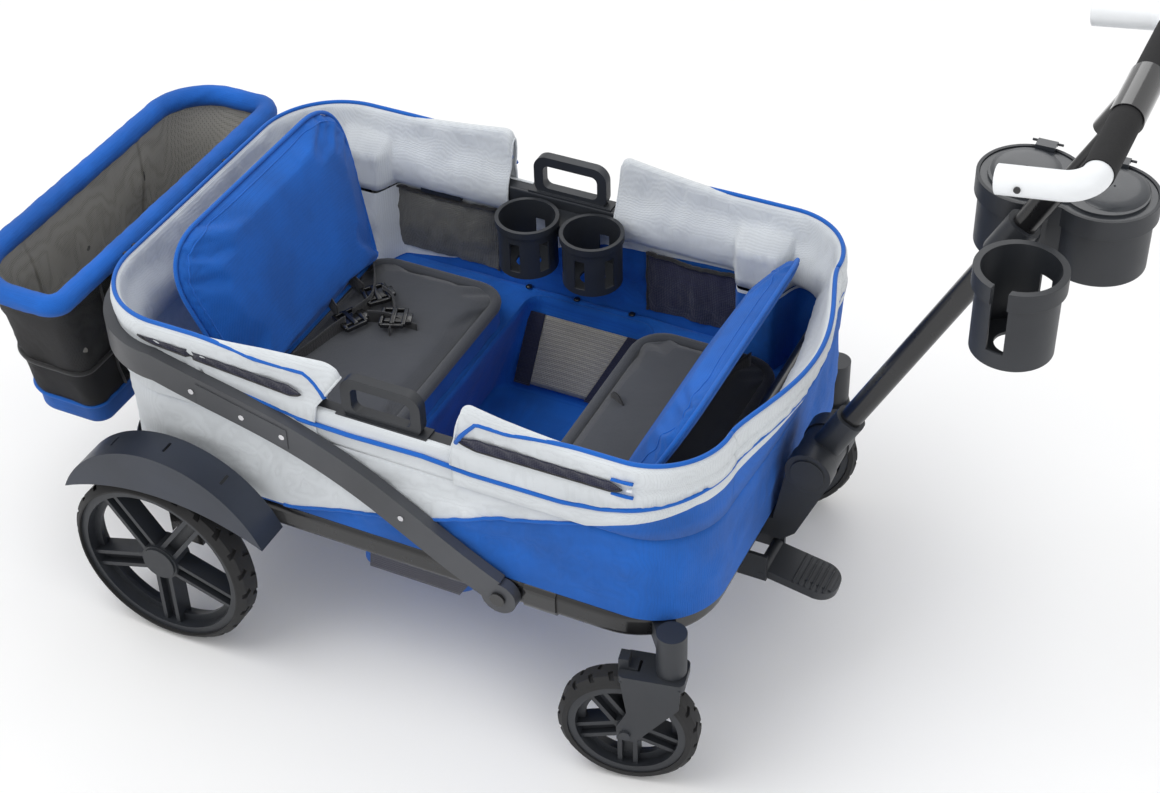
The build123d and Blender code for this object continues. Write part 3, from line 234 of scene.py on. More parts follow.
PAINTS = {
    BLACK_PAINT: ["base_tube", "seat_frame", "upper_rail", "post_tubes", "grip_core", "handle_lower_tube",
                  "handle_inner_tube", "axle_brackets"],
    LINK: ["link_frame"],
    STEEL: ["rear_axle", "link_hardware", "left_brake_pin", "right_brake_pin"],
    GLOSS: ["handle_head", "fold_pivots", "base_fittings"],
    FOAM: ["foam_grips"],
    WHITE: ["grip_elbows"],
    RUBBER: ["left_rear_tyre", "right_rear_tyre", "left_caster_tyre", "right_caster_tyre"],
    NAVY_PLASTIC: ["fenders"],
    LID: ["rear_tray_lid", "front_tray_lid"],
}
CHOSEN = {n: m for m, names in PAINTS.items() for n in names}
for name, node in frame["nodes"].items():
    node.data.materials.clear()
    node.data.materials.append(CHOSEN.get(name, CHARCOAL))


# ---- mesh helpers ----
MEET = 2e-4  # rows of points nearer than this are one


def make(name, verts, faces, mats, face_mats=None, body=None, slot=None):
    """Object from points and faces, shaded smooth."""
    mesh = bpy.data.meshes.new(name)
    mesh.from_pydata([tuple(v) for v in verts], [], faces)
    for m in mats:
        mesh.materials.append(m)
    if face_mats is not None:
        mesh.polygons.foreach_set("material_index", face_mats)
    mesh.polygons.foreach_set("use_smooth", [True] * len(mesh.polygons))
    obj = bpy.data.objects.new(name, mesh)
    bpy.context.scene.collection.objects.link(obj)
    mesh.update()
    if body:
        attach(obj, body)
    return obj


def grid(name, rows, mats, row_mats=None, closed=False, thick=0.0, inward=1, **kw):
    """Sheet from rows of points; face material by row; rows that meet get no faces."""
    count = len(rows[0])
    verts = [p for row in rows for p in row]
    faces, face_mats = [], []
    for j in range(len(rows) - 1):
        for i in range(count if closed else count - 1):
            k = (i + 1) % count
            a, b = rows[j][i], rows[j + 1][i]
            c, d = rows[j][k], rows[j + 1][k]
            if (a - b).length < MEET and (c - d).length < MEET:
                continue
            faces.append((j * count + i, j * count + k, (j + 1) * count + k, (j + 1) * count + i))
            face_mats.append(row_mats[j] if row_mats else 0)
    obj = make(name, verts, faces, mats, face_mats, **kw)
    bm = bmesh.new()
    bm.from_mesh(obj.data)
    bmesh.ops.remove_doubles(bm, verts=bm.verts, dist=1e-5)
    loose = [v for v in bm.verts if not v.link_faces]
    bmesh.ops.delete(bm, geom=loose, context="VERTS")
    bm.to_mesh(obj.data)
    bm.free()
    if thick:
        solid = obj.modifiers.new("thick", "SOLIDIFY")
        solid.thickness, solid.offset = thick, inward
        bake(obj)
    return obj


def bake(obj):
    """Applies the object's modifiers to its mesh."""
    bpy.context.view_layer.update()
    done = bpy.data.meshes.new_from_object(obj.evaluated_get(bpy.context.evaluated_depsgraph_get()))
    obj.modifiers.clear()
    obj.data = done
    return obj


def tube(name, points, radius, mat, body=None, closed=False, segments=8, ripple=0.0, flat=1.0, slot=None):
    """Round or flattened tube along points, made as a mesh; radius may be a list."""
    pts = [Vector(p) for p in points]
    n = len(pts)
    verts, faces = [], []
    side = None
    for i, p in enumerate(pts):
        before = pts[i - 1] if i or closed else p
        after = pts[(i + 1) % n] if i < n - 1 or closed else p
        ahead = (after - before).normalized()
        ref = side or (Vector((0, 0, 1)) if abs(ahead.z) < 0.9 else Vector((1, 0, 0)))
        across = ahead.cross(ref).normalized()
        lift = across.cross(ahead).normalized()
        side = lift
        r = radius[i] if isinstance(radius, (list, tuple)) else radius
        for k in range(segments):
            a = 2 * math.pi * k / segments
            grow = 1 + ripple * noise.noise(Vector((p.x * 60 + k * 0.7, p.y * 60, p.z * 60)))
            verts.append(p + (across * math.cos(a) + lift * (math.sin(a) * flat)) * r * grow)
    for i in range(n if closed else n - 1):
        for k in range(segments):
            a, b = i * segments + k, i * segments + (k + 1) % segments
            c, d = ((i + 1) % n) * segments + (k + 1) % segments, ((i + 1) % n) * segments + k
            faces.append((a, b, c, d))
    if not closed:
        faces += [tuple(range(segments))[::-1], tuple(range((n - 1) * segments, n * segments))]
    return make(name, verts, faces, [mat], body=body, slot=slot)


def smooth_line(points, steps):
    """Catmull-Rom line through points."""
    pts = [Vector(p) for p in points]
    out = []
    for i in range(len(pts) - 1):
        a = pts[i - 1] if i else pts[0] * 2 - pts[1]
        b, c = pts[i], pts[i + 1]
        d = pts[i + 2] if i + 2 < len(pts) else pts[-1] * 2 - pts[-2]
        for k in range(steps):
            t = k / steps
            out.append(0.5 * ((2 * b) + (c - a) * t + (2 * a - 5 * b + 4 * c - d) * t * t
                              + (3 * b - 3 * c + d - a) * t ** 3))
    out.append(pts[-1])
    return out


def ribbon(name, points, width, across, mat, body, thick=0.0016, slot=None):
    """Flat strap along a line, with its width along the across direction at each point."""
    line = smooth_line(points, 8)
    side = Vector(across).normalized()
    rows = []
    for shift in np.linspace(-0.5, 0.5, 7):
        rows.append([p + side * (shift * width) for p in line])
    return grid(name, rows, [mat], thick=thick, body=body, slot=slot)


def lump(x, y, z, scale, amp):
    """Soft unevenness of cloth at a place."""
    return amp * noise.fractal(Vector((x, y, z)) * scale, 0.7, 2.1, 4)


class Outline:
    """Rounded plan outline by arc length, from the middle of the rear round by the right side."""

    def __init__(self, rear, front, half, rear_round, front_round):
        rr, rf = rear_round, front_round
        q = math.pi / 2
        self.parts = [
            ("line", half - rr, (rear, 0), (0, -1), (-1, 0)),
            ("arc", rr * q, (rear + rr, rr - half), rr, math.pi),
            ("line", front - rear - rr - rf, (rear + rr, -half), (1, 0), (0, -1)),
            ("arc", rf * q, (front - rf, rf - half), rf, 3 * q),
            ("line", 2 * (half - rf), (front, rf - half), (0, 1), (1, 0)),
            ("arc", rf * q, (front - rf, half - rf), rf, 0),
            ("line", front - rear - rr - rf, (front - rf, half), (-1, 0), (0, 1)),
            ("arc", rr * q, (rear + rr, half - rr), rr, q),
            ("line", half - rr, (rear, half - rr), (0, -1), (-1, 0)),
        ]
        self.length = sum(p[1] for p in self.parts)
        self.rear, self.rr, self.half = rear, rr, half

    def at(self, s):
        """Place and outward direction at an arc length."""
        s %= self.length
        for kind, length, a, b, c in self.parts:
            if s <= length:
                if kind == "line":
                    return a[0] + b[0] * s, a[1] + b[1] * s, c[0], c[1]
                angle = c + s / b
                nx, ny = math.cos(angle), math.sin(angle)
                return a[0] + b * nx, a[1] + b * ny, nx, ny
            s -= length
        return a[0], a[1], c[0], c[1]

    def near(self, x):
        """Arc length where the right side passes x."""
        return self.half - self.rr + self.rr * math.pi / 2 + x - self.rear - self.rr


REAR_CORNER, FRONT_CORNER = 0.112, 0.095
TUB = Outline(TUB_REAR, TUB_FRONT, TUB_Y, REAR_CORNER, FRONT_CORNER)
BOW_HALF = 0.176  # half width of the bowed part of the front


def table_at(table, x):
    """Value at x between the rows of a table."""
    return float(np.interp(x, [t[0] for t in table], [t[1] for t in table]))


PIPING = [  # x, height of the lower piping
    (-0.1, 0.447), (0.06, 0.439), (0.149, 0.426), (0.219, 0.415), (0.29, 0.413), (0.388, 0.416), (0.455, 0.411),
    (0.575, 0.412), (0.627, 0.420), (0.68, 0.436), (0.735, 0.452), (0.79, 0.459),
]
BOUNDARY = [  # x, height where the blue cloth meets the grey
    (0.17, 0.250), (0.276, 0.279), (0.394, 0.312), (0.465, 0.342), (0.547, 0.365), (0.626, 0.393),
    (0.677, 0.414), (0.728, 0.433), (0.79, 0.438),
]
BOW = [(0.30, 0.0), (0.386, 0.008), (0.42, 0.018), (0.46, 0.032), (0.50, 0.040)]  # height, how far the front bows
ARM = [  # x, height of the link bar
    (0.07, 0.425), (0.199, 0.392), (0.313, 0.342), (0.40, 0.288), (0.48, 0.242), (0.52, 0.235),
]
ARM_HALF = 0.03


def place(s, off, z):
    """Point off millimetres outside the tub outline, with the bow of its front face."""
    x, y, nx, ny = TUB.at(s)
    bulge = 0.0
    if x > TUB_FRONT - 0.02 and abs(y) < BOW_HALF:
        bulge = table_at(BOW, z) * (1 - (y / BOW_HALF) ** 2) ** 1.5
    return P(x + nx * off / 1000 + bulge, y + ny * off / 1000, z)


def arm_near(x, z):
    """True where the link bar or hoop passes just outside the cloth."""
    if x < ARM[0][0]:
        low, high = 0.415, 0.466
    else:
        mid = table_at(ARM, x)
        low, high = mid - ARM_HALF, mid + ARM_HALF
    return x < ARM[-1][0] and low < z < high


# ---- rim band ----
FLAPS = {-1: (0.240, 0.430), 1: (0.237, 0.402)}  # x of the gap between the flaps on each side
POSTS = (0.010, 0.620)  # x of the corner posts
POST_REACH, POST_FADE = 43, 0.026
RIM_STEP = 0.0033
RIM_LOW = 0.386
PIPING_R = 0.0031
RIM_ROWS = [  # millimetres outside the outline, height, share of the folds
    (-9, RIM_LOW, 0), (-17, 0.391, 0.2), (-26, 0.402, 0.3), (-27.5, 0.420, 0.4), (-26, 0.436, 0.7),
    (-20, 0.449, 1), (-14, 0.461, 1), (-10, 0.474, 1), (-8, 0.486, 0.6), (-6, 0.493, 0.2), (-3, 0.4965, 0),
    (0.5, 0.496, 0), (3.4, 0.490, 0.3), (4.6, 0.481, 0.6), (3.4, 0.472, 0.4), (0.3, 0.467, 0.1),
    (3.2, 0.461, 0.4), (4.6, 0.450, 0.8),
]


def post_cover(x, ny, width=0.024):
    """How far the cloth inside stands off to cover a corner post and its clamp, in millimetres."""
    if abs(ny) < 0.9:
        return 0
    share = max(min(1, max(0, (width + POST_FADE - abs(x - px)) / POST_FADE)) for px in POSTS)
    return POST_REACH * share * share * (3 - 2 * share)


def rim(name, s0, s1, ends):
    """Rim band from one arc length to another, with its pipings and a hem at each free end."""
    body = "upper_frame"
    count = max(12, int((s1 - s0) / RIM_STEP))
    stations = np.linspace(s0, s1, count)
    columns, top_line, low_line = [], [], []
    for s in stations:
        x, y, nx, ny = TUB.at(s)
        end = min((abs(s - e) for e in ends), default=9.0)
        rise = 0.019 * max(0, 1 - end / 0.17) ** 1.4
        corner = max(0.0, 1 - end / 0.016)
        drop = 0.016 * (1 - math.sqrt(max(0.0, 1 - corner ** 2)))
        slant = (0.75 if x < 0.3 else 0.3) if y < 0 else 0
        pipe_z = table_at(PIPING, x)
        bound = min(pipe_z - 0.010, max(RIM_LOW, table_at(BOUNDARY, x)))
        rows = []
        for off, z, share in RIM_ROWS:
            if 0.44 < z < 0.475 and off > 0:
                z = pipe_z + (z - 0.447) * (0.475 - pipe_z) / 0.028
            if off < 0 and 0.388 < z < 0.455:
                off = min(off, -7 - post_cover(x, ny, 0.026))
            rows.append([off, z, share])
        rows += [[2.2, pipe_z + 0.003, 0], [2.2, pipe_z - 0.003, 0]]
        rows += [[4.4, pipe_z - 0.35 * (pipe_z - bound) - 0.002, 0.5], [2.5, bound + 0.0005, 0.2],
                 [2.4, bound, 0.1], [1.2, (bound + RIM_LOW) / 2, 0.1], [0.2, RIM_LOW, 0]]

        def laid(off, z):
            """Point of the band, with its flap's end raised, rounded and slanted."""
            lift = min(1, max(0, (z - 0.455) / 0.04))
            shift = slant * max(0, z - 0.44) * max(0, 1 - end / 0.07)
            return place(s + shift, off + 2.5 * lift * corner, z + rise * lift - drop * lift)

        column = []
        for off, z, share in rows:
            most = 1.4 if off > 0 and arm_near(x, z) else 6.0
            off += share * (lump(x, y, z * 1.6, 22, 3.8) + lump(x, y, z, 60, 1.1))
            column.append(laid(min(off, most), z + share * lump(y, x, z, 18, 0.0025)))
        columns.append(column)
        up = min(1, rise / 0.008)
        turn = max(0, 1 - end / 0.028)
        top = laid(-1.2 + 5.4 * up, 0.4985 - 0.007 * up - 0.022 * turn)
        top_line.append(top - Vector((0, 0, rise * 0.75)))
        low_line.append(place(s, 1.6 if arm_near(x, pipe_z) else 3.6, pipe_z))
    rows = [[c[j] for c in columns] for j in range(len(columns[0]))]
    mats = [0] * (len(rows) - 1)
    mats[-1] = mats[-2] = 1
    obj = grid(name, rows, [GREY, BLUE], mats, thick=0.0012, inward=-1, body=body, slot="grey_fabric")
    pieces = [obj, tube(f"{name}_piping_top", top_line[::2], 0.0030, BLUE_TRIM, body, slot="blue_fabric"),
              tube(f"{name}_piping_low", low_line[::2], PIPING_R, BLUE_TRIM, body, slot="blue_fabric")]
    for e in ends:
        edge = columns[0] if abs(s0 - e) < 1e-6 else columns[-1]
        hem = tube(f"{name}_hem_{len(pieces) - 1}", edge[:18], 0.0019, GREY, body, slot="grey_fabric")
        pieces.append(hem)
    return pieces


def side_s(side, x):
    """Arc length where a side of the tub passes x."""
    s = TUB.near(x)
    return s if side < 0 else TUB.length - s


front_edge = TUB.near(TUB_FRONT - FRONT_CORNER) + FRONT_CORNER * math.pi / 2
bow_start = front_edge + (TUB_Y - FRONT_CORNER) - BOW_HALF
bow_end = TUB.length - bow_start
rear_ends = [side_s(1, FLAPS[1][0]) - TUB.length, side_s(-1, FLAPS[-1][0])]
front_ends = {side: side_s(side, FLAPS[side][1]) for side, _ in SIDES}
rear_rim, *_ = rim("rim_rear", *rear_ends, rear_ends)
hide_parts("rear_rim")
right_rim, *_ = rim("rim_front_right", front_ends[-1], bow_start, [front_ends[-1]])
rim("rim_front_left", bow_end, front_ends[1], [front_ends[1]])
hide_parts("front_rim")
for piece in rim("rim_front_bow", bow_start, bow_end, []):
    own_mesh(piece)


def zip_strip(name, side, x0, x1, z0, z1, half0, half1):
    """Dark gusset with a zip's teeth on the outer face of a flap."""
    rows = [[] for _ in range(7)]
    teeth = []
    for k in range(61):
        t = k / 60
        x = x0 + (x1 - x0) * t
        mid = z0 + (z1 - z0) * t
        half = (half0 + (half1 - half0) * t) * min(1, t * 9, (1 - t) * 14) ** 0.6
        s = side_s(side, x)
        off = 2.2 if arm_near(x, mid - 0.004) else 6.0
        for j in range(7):
            v = j / 3 - 1
            rows[j].append(place(s, off - 1.6 * (1 - v * v) + 0.5 * math.sin(x * 260 + v * 2), mid + v * half))
        teeth.append(place(s, off + 0.1, mid - half * 0.92))
    grid(name, rows, [NAVY], body="upper_frame", slot="charcoal_fabric", thick=0.0008)
    tube(f"{name}_zip", teeth, 0.0013, BLACK, "upper_frame", segments=6, slot="charcoal_fabric")


for side, word in SIDES:
    zip_strip(f"gusset_rear_{word}", side, -0.010, 0.226, 0.475, 0.459, 0.0042, 0.0085)
    zip_strip(f"gusset_front_{word}", side, FLAPS[side][1] + 0.012, 0.655, 0.462, 0.462, 0.0095, 0.0075)
    s0, s1 = sorted((side_s(side, FLAPS[side][0] - 0.012), side_s(side, FLAPS[side][1] + 0.012)))
    stations = np.linspace(s0, s1, 60)
    levels = ((-1, 0.385), (0.4, 0.392), (1.2, None), (1.0, 0.427), (0.6, 0.434), (-2.0, 0.4375), (-6, 0.4375))
    rows = [[place(s, o, z or table_at(PIPING, TUB.at(s)[0])) for s in stations] for o, z in levels]
    grid(f"gap_cloth_{word}", rows, [GREY], thick=0.001, inward=-1, body="upper_frame", slot="grey_fabric")
    line = [place(s, 3.2, table_at(PIPING, TUB.at(s)[0])) for s in np.linspace(s0 - 0.004, s1 + 0.004, 40)]
    tube(f"gap_piping_{word}", line, PIPING_R, BLUE_TRIM, "upper_frame", slot="blue_fabric")


def block(name, low, high, mat, body, round_by):
    """Moulded block with rounded edges."""
    bm = bmesh.new()
    bmesh.ops.create_cube(bm, size=1.0)
    for v in bm.verts:
        v.co = Vector(low[i] + (v.co[i] + 0.5) * (high[i] - low[i]) for i in range(3))
    bmesh.ops.bevel(bm, geom=bm.edges[:], offset=round_by, segments=3, profile=0.7, affect="EDGES")
    mesh = bpy.data.meshes.new(name)
    bm.to_mesh(mesh)
    bm.free()
    mesh.materials.append(mat)
    mesh.polygons.foreach_set("use_smooth", [True] * len(mesh.polygons))
    obj = bpy.data.objects.new(name, mesh)
    bpy.context.scene.collection.objects.link(obj)
    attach(obj, body)
    return obj


for side, word in SIDES:
    ys = sorted((side * (TUB_Y - 0.0242), side * (TUB_Y - 0.0010)))
    low, high = P(0.226, ys[0], 0.4085), P(0.446, ys[1], 0.4365)
    block(f"rail_cover_{word}", low, high, CHARCOAL, "upper_frame", 0.004)


# ---- walls outside and lining inside ----
def wall():
    """Outer cloth of the tub, blue below its slanting trim and grey above."""
    stations = np.linspace(0, TUB.length, 640, endpoint=False)
    columns, trim = [], []
    for s in stations:
        x, y, _, _ = TUB.at(s)
        bound = min(0.388, max(0.2535, table_at(BOUNDARY, x)))
        levels = [0.2505, 0.2515] + [0.2515 + (bound - 0.2515) * k / 8 for k in range(1, 9)]
        levels += [bound + (0.388 - bound) * k / 10 for k in range(1, 11)]
        column = []
        for j, z in enumerate(levels):
            mid = math.sin(math.pi * min(1, max(0, (z - 0.2505) / 0.137)))
            pull = lump(x * 0.8, y * 0.8, z * 2.4, 13, 4.2) + lump(x, y, z * 0.6, 38, 1.5)
            off = -0.8 + mid * (0.6 + pull)
            if arm_near(x, z):
                off = min(off, 1.0)
            column.append(place(s, min(off, 4.5), z + mid * lump(y, z, x, 15, 0.002)))
        columns.append(column)
        if 0.17 < x < 0.64 or x >= 0.64 and bound < 0.386:
            trim.append((s, column[9]))
    rows = [[c[j] for c in columns] for j in range(len(columns[0]))]
    mats = [1 if j < 9 else 0 for j in range(len(rows) - 1)]
    obj = grid("walls", rows, [GREY, BLUE], mats, closed=True, thick=0.0012, inward=-1, slot="blue_fabric")
    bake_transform(obj)
    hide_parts("side_walls", "rear_wall", "front_wall")
    for side, label in SIDES:
        line = [p + Vector((0, side * 0.0008, 0)) for s, p in trim if p.y * side > 0]
        seam = tube(f"wall_trim_{label}", line, 0.0024, BLUE_TRIM, slot="blue_fabric")
        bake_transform(seam)


LINING_EDGE = [(0.0, 0.256), (0.135, 0.276), (0.377, 0.368), (0.528, 0.379), (0.79, 0.384)]


def lining():
    """Inner cloth of the tub; returns its foot for the floor sheet."""
    stations = np.linspace(0, TUB.length, 600, endpoint=False)
    columns = []
    for s in stations:
        x, y, nx, ny = TUB.at(s)
        bound = min(0.384, max(0.265, table_at(LINING_EDGE, x)))
        levels = [0.262 + (bound - 0.262) * k / 9 for k in range(10)]
        levels += [bound + (0.386 - bound) * k / 9 for k in range(1, 10)]
        column = []
        for z in levels:
            mid = math.sin(math.pi * min(1, (z - 0.262) / 0.124))
            low = max(0, 1 - (z - 0.262) / 0.05)
            folds = lump(x, y, z * 2, 14, 4.5) + lump(x, y, z, 45, 1.4)
            off = -9 - 6 * low - post_cover(x, ny) + mid * folds
            if abs(ny) < 0.5:
                off -= 3
            column.append(place(s, min(off, -6.5), z))
        columns.append(column)
    rows = [[c[j] for c in columns] for j in range(len(columns[0]))]
    mats = [1 if j < 9 else 0 for j in range(len(rows) - 1)]
    obj = grid("lining", rows, [GREY, BLUE], mats, closed=True, slot="blue_fabric")
    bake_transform(obj)
    return [c[0] for c in columns]


wall()
lining_foot = lining()


def pocket(name, side, x0, x1, z0, z1, mat):
    """Net pocket on the lining, gathered under its binding, bellied at the middle."""
    rows = []
    for j in range(13):
        v = j / 12
        row = []
        for k in range(41):
            t = k / 40
            x = x0 + (x1 - x0) * t
            sag = 0.004 * math.sin(math.pi * t) * v ** 3
            belly = 9 * math.sin(math.pi * v) ** 0.7 * math.sin(math.pi * t) ** 0.5
            off = -15 - belly + lump(x, 3, z0 + v * 0.1, 45, 3.0)
            row.append(place(side_s(side, x), off, z0 + (z1 - z0) * v - sag))
        rows.append(row)
    net = grid(name, rows, [mat], slot="charcoal_fabric")
    top = [p - Vector((0, side * 0.0012, 0)) for p in rows[-1]]
    pieces = [net, tube(f"{name}_binding", top, 0.0040, BLACK, flat=0.5, slot="charcoal_fabric")]
    for end in (0, -1):
        edge = [row[end] for row in rows]
        pieces.append(tube(f"{name}_edge{end}", edge, 0.0022, BLACK, slot="charcoal_fabric"))
    for piece in pieces:
        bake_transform(piece)


for side, word in SIDES:
    pocket(f"pocket_rear_{word}", side, 0.038, 0.212, 0.280, 0.384, POCKET_GREY)
    pocket(f"pocket_front_{word}", side, 0.445, 0.592, 0.280, 0.378, POCKET_NAVY)


# ---- footwell and floor ----
WELL_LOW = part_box("footwell")[0]
WELL_TALL = 0.126
WELL = {"top": (0.266, 0.470, 0.250), "floor": (0.226, 0.400, 0.205)}


def well_loop(share, grow, n=240):
    """Rounded outline of the well at a share of its height, from its middle rear."""
    rear = WELL["floor"][0] + (WELL["top"][0] - WELL["floor"][0]) * share - grow
    front = WELL["floor"][1] + (WELL["top"][1] - WELL["floor"][1]) * share + grow
    half = WELL["floor"][2] + (WELL["top"][2] - WELL["floor"][2]) * share + grow
    edge = Outline(rear, front, half, 0.025, 0.025)
    return [edge.at(edge.length * k / n)[:2] for k in range(n)]


def footwell():
    """Cloth of the well, from its mouth down and in to the middle of its floor."""
    rows = []
    z0, z1 = WELL_LOW.z + 0.002, 0.262
    for v in np.linspace(1.0, 0.0, 15):
        z = z0 + (z1 - z0) * v
        row = []
        for x, y in well_loop(min(1, v * 1.05), -0.002):
            folds = Vector((lump(x, y, z, 16, 0.003), lump(y, z, x, 16, 0.003), 0))
            row.append(P(x, y, z + (0.002 if v > 0.99 else 0)) + folds * math.sin(math.pi * v))
        rows.append(row)
    centre = P(0.313, 0, z0)
    foot = rows[-1]
    for k in (0.85, 0.6, 0.35, 0.12):
        rows.append([centre + (p - centre) * k + Vector((0, 0, lump(p.x, p.y, 3, 12, 0.003))) for p in foot])
    obj = grid("footwell_cloth", rows, [BLUE], closed=True, thick=0.0015, body="base", slot="blue_fabric")
    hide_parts("footwell", "footwell_board")


footwell()


def floor_sheet():
    """Cloth between the lining's foot and the mouth of the well."""
    n = len(lining_foot)
    mouth = well_loop(1.0, -0.002, n)
    rows = []
    for k in range(7):
        t = k / 6
        row = []
        for i in range(n):
            a = lining_foot[i]
            b = P(mouth[i][0], mouth[i][1], 0.264)
            p = a.lerp(b, t)
            crown = math.sin(math.pi * t)
            p.z = 0.263 + 0.004 * crown + lump(p.x, p.y, 0, 14, 0.004) * crown
            row.append(p)
        rows.append(row)
    obj = grid("floor_cloth", rows, [BLUE], closed=True, body="base", slot="blue_fabric")
    bm = bmesh.new()
    bm.from_mesh(obj.data)
    posts = [P(x, side * 0.250, 0) for x in POSTS for side in (-1, 1)]
    around = [f for f in bm.faces if min((f.calc_center_median() - q).xy.length for q in posts) < 0.024]
    bmesh.ops.delete(bm, geom=around, context="FACES")
    bm.to_mesh(obj.data)
    bm.free()


floor_sheet()


def well_wall(x, z, side, inside):
    """Point on the side of the well."""
    share = (z - WELL_LOW.z) / WELL_TALL
    half = WELL["floor"][2] + (WELL["top"][2] - WELL["floor"][2]) * min(1, share)
    return P(x, side * (half - 0.002 - inside), z)


def well_patch(name, side, corners, mat, inside, steps=14, wave=0.0):
    """Panel on the side of the well from its lower and upper edges."""
    (x00, x01, z0), (x10, x11, z1) = corners
    rows = []
    for j in range(steps + 1):
        v = j / steps
        z = z0 + (z1 - z0) * v
        a, b = x00 + (x10 - x00) * v, x01 + (x11 - x01) * v
        row = []
        for k in range(21):
            belly = wave * math.sin(math.pi * v) * math.sin(math.pi * k / 20)
            row.append(well_wall(a + (b - a) * k / 20, z, side, inside + belly))
        rows.append(row)
    grid(name, rows, [mat], thick=0.001, body="base", slot="charcoal_fabric")


for side, word in SIDES:
    window = (0.281, 0.374, 0.134), (0.292, 0.428, 0.238)
    well_patch(f"well_window_{word}", side, window, TAN, 0.010, wave=0.002)
    well_patch(f"well_binding_rear_{word}", side, ((0.258, 0.284, 0.132), (0.270, 0.295, 0.240)), NAVY, 0.0115)
    well_patch(f"well_binding_front_{word}", side, ((0.371, 0.396, 0.132), (0.425, 0.447, 0.240)), NAVY, 0.0115)
    well_patch(f"well_outer_{word}", side, ((0.250, 0.385, 0.118), (0.285, 0.452, 0.232)), NAVY, -0.0042)
    for k, x in enumerate((0.262, 0.338, 0.424)):
        spot = P(x, side * 0.2525, 0.2685)
        stem = [spot + Vector((0, 0, up)) for up in (0, 0.0012, 0.0024, 0.003)]
        tube(f"snap_{word}_{k}", stem, [0.0052, 0.0050, 0.0036, 0.0012], BLACK_PAINT, "base", segments=14,
             slot="charcoal_plastic")


def skirt(name, x0, x1, mats):
    """Cloth drop round a seat, down to the floor sheet."""
    loop = rounded(x0, x1, 0.190)
    rows = []
    for z in (SEAT_TOP - 0.014, SEAT_TOP - 0.024, SEAT_TOP - 0.036, 0.264):
        rows.append([P(x, y, z) + Vector((lump(x, y, z, 30, 0.0015), lump(y, x, z, 30, 0.0012), 0))
                     for x, y in loop])
    obj = grid(name, rows, mats, closed=True, body="base", slot="blue_fabric")
    if len(mats) > 1:
        for poly in obj.data.polygons:
            poly.material_index = 1 if poly.center.x > AXLE.x + x1 - 0.02 else 0


# ---- padded pieces ----
VOXEL = 0.006


def slab(name, outline, frame_of, low, high, mat, body, cap, slot, crown=0.0):
    """Closed padded form from a plan outline, blown up a little by a cloth simulation."""
    pts = np.array(outline)
    middle = pts.mean(0)
    tall = high - low
    steps = [(0.0, low), (0.5, low), (0.9, low), (1.0, low + 0.15 * tall), (1.0, low + 0.85 * tall),
             (0.965, high), (0.8, high), (0.5, high), (0.0, high)]
    verts, faces = [], []
    n = len(pts)
    for k, (share, level) in enumerate(steps):
        dome = crown * (1 - share ** 2) if level > (low + high) / 2 else 0
        for x, y in middle + (pts - middle) * max(share, 0.002):
            verts.append(frame_of @ Vector((x, y, level + dome)))
    for k in range(len(steps) - 1):
        for i in range(n):
            j = (i + 1) % n
            faces.append((k * n + i, k * n + j, (k + 1) * n + j, (k + 1) * n + i))
    faces.append(tuple(range(n))[::-1])
    faces.append(tuple(range((len(steps) - 1) * n, len(steps) * n)))
    obj = make(name, verts, faces, [mat], slot=slot)
    bm = bmesh.new()
    bm.from_mesh(obj.data)
    bmesh.ops.recalc_face_normals(bm, faces=bm.faces)
    bm.to_mesh(obj.data)
    bm.free()
    remesh = obj.modifiers.new("voxels", "REMESH")
    remesh.mode, remesh.voxel_size, remesh.use_smooth_shade = "VOXEL", VOXEL, True
    bake(obj)
    puff(obj, frame_of, low, cap)
    sub = obj.modifiers.new("smooth", "SUBSURF")
    sub.levels = sub.render_levels = 1
    bake(obj)
    obj.data.polygons.foreach_set("use_smooth", [True] * len(obj.data.polygons))
    if not obj.data.materials:
        obj.data.materials.append(mat)
    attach(obj, body)
    return obj


def puff(obj, frame_of, low, cap):
    """Inflates the pad with a short cloth run; its back stays put and no point moves past the cap."""
    start = np.array([v.co for v in obj.data.vertices])
    back = frame_of.inverted()
    group = obj.vertex_groups.new(name="pin")
    held = [v.index for v in obj.data.vertices if (back @ v.co).z < low + 0.004]
    group.add(held, 1.0, "REPLACE")
    cloth = obj.modifiers.new("cloth", "CLOTH")
    cloth.settings.use_pressure = True
    cloth.settings.uniform_pressure_force = 4.0
    cloth.settings.effector_weights.gravity = 0
    cloth.settings.quality = 5
    cloth.settings.mass = 0.3
    cloth.settings.vertex_group_mass = "pin"
    cloth.point_cache.frame_start, cloth.point_cache.frame_end = 1, 20
    for f in range(1, 21):
        bpy.context.scene.frame_set(f)
    done = obj.evaluated_get(bpy.context.evaluated_depsgraph_get())
    now = np.array([v.co for v in done.data.vertices])
    bpy.context.scene.frame_set(1)
    obj.modifiers.clear()
    move = now - start
    size = np.linalg.norm(move, axis=1, keepdims=True)
    move *= np.minimum(1, cap / np.maximum(size, 1e-9))
    obj.data.vertices.foreach_set("co", (start + move).ravel())
    obj.data.update()


def seam_on(name, pad, line, direction, mat, body, radius=0.0011):
    """Corded seam laid on the face of a pad along a line, found by casting towards the pad."""
    tree = BVHTree.FromObject(pad, bpy.context.evaluated_depsgraph_get())
    way = Vector(direction).normalized()
    hits = []
    for p in line:
        spot = tree.ray_cast(p - way * 0.09, way)[0]
        if spot is not None:
            hits.append(spot - way * (radius * 0.2))
    if len(hits) > 3:
        tube(name, hits, radius, mat, body, segments=6, slot="blue_fabric")


def rounded(x0, x1, half, r_low=0.04, r_high=0.04, n=120):
    """Plan outline of a seat."""
    edge = Outline(x0, x1, half, r_low, r_high)
    return [edge.at(edge.length * k / n)[:2] for k in range(n)]


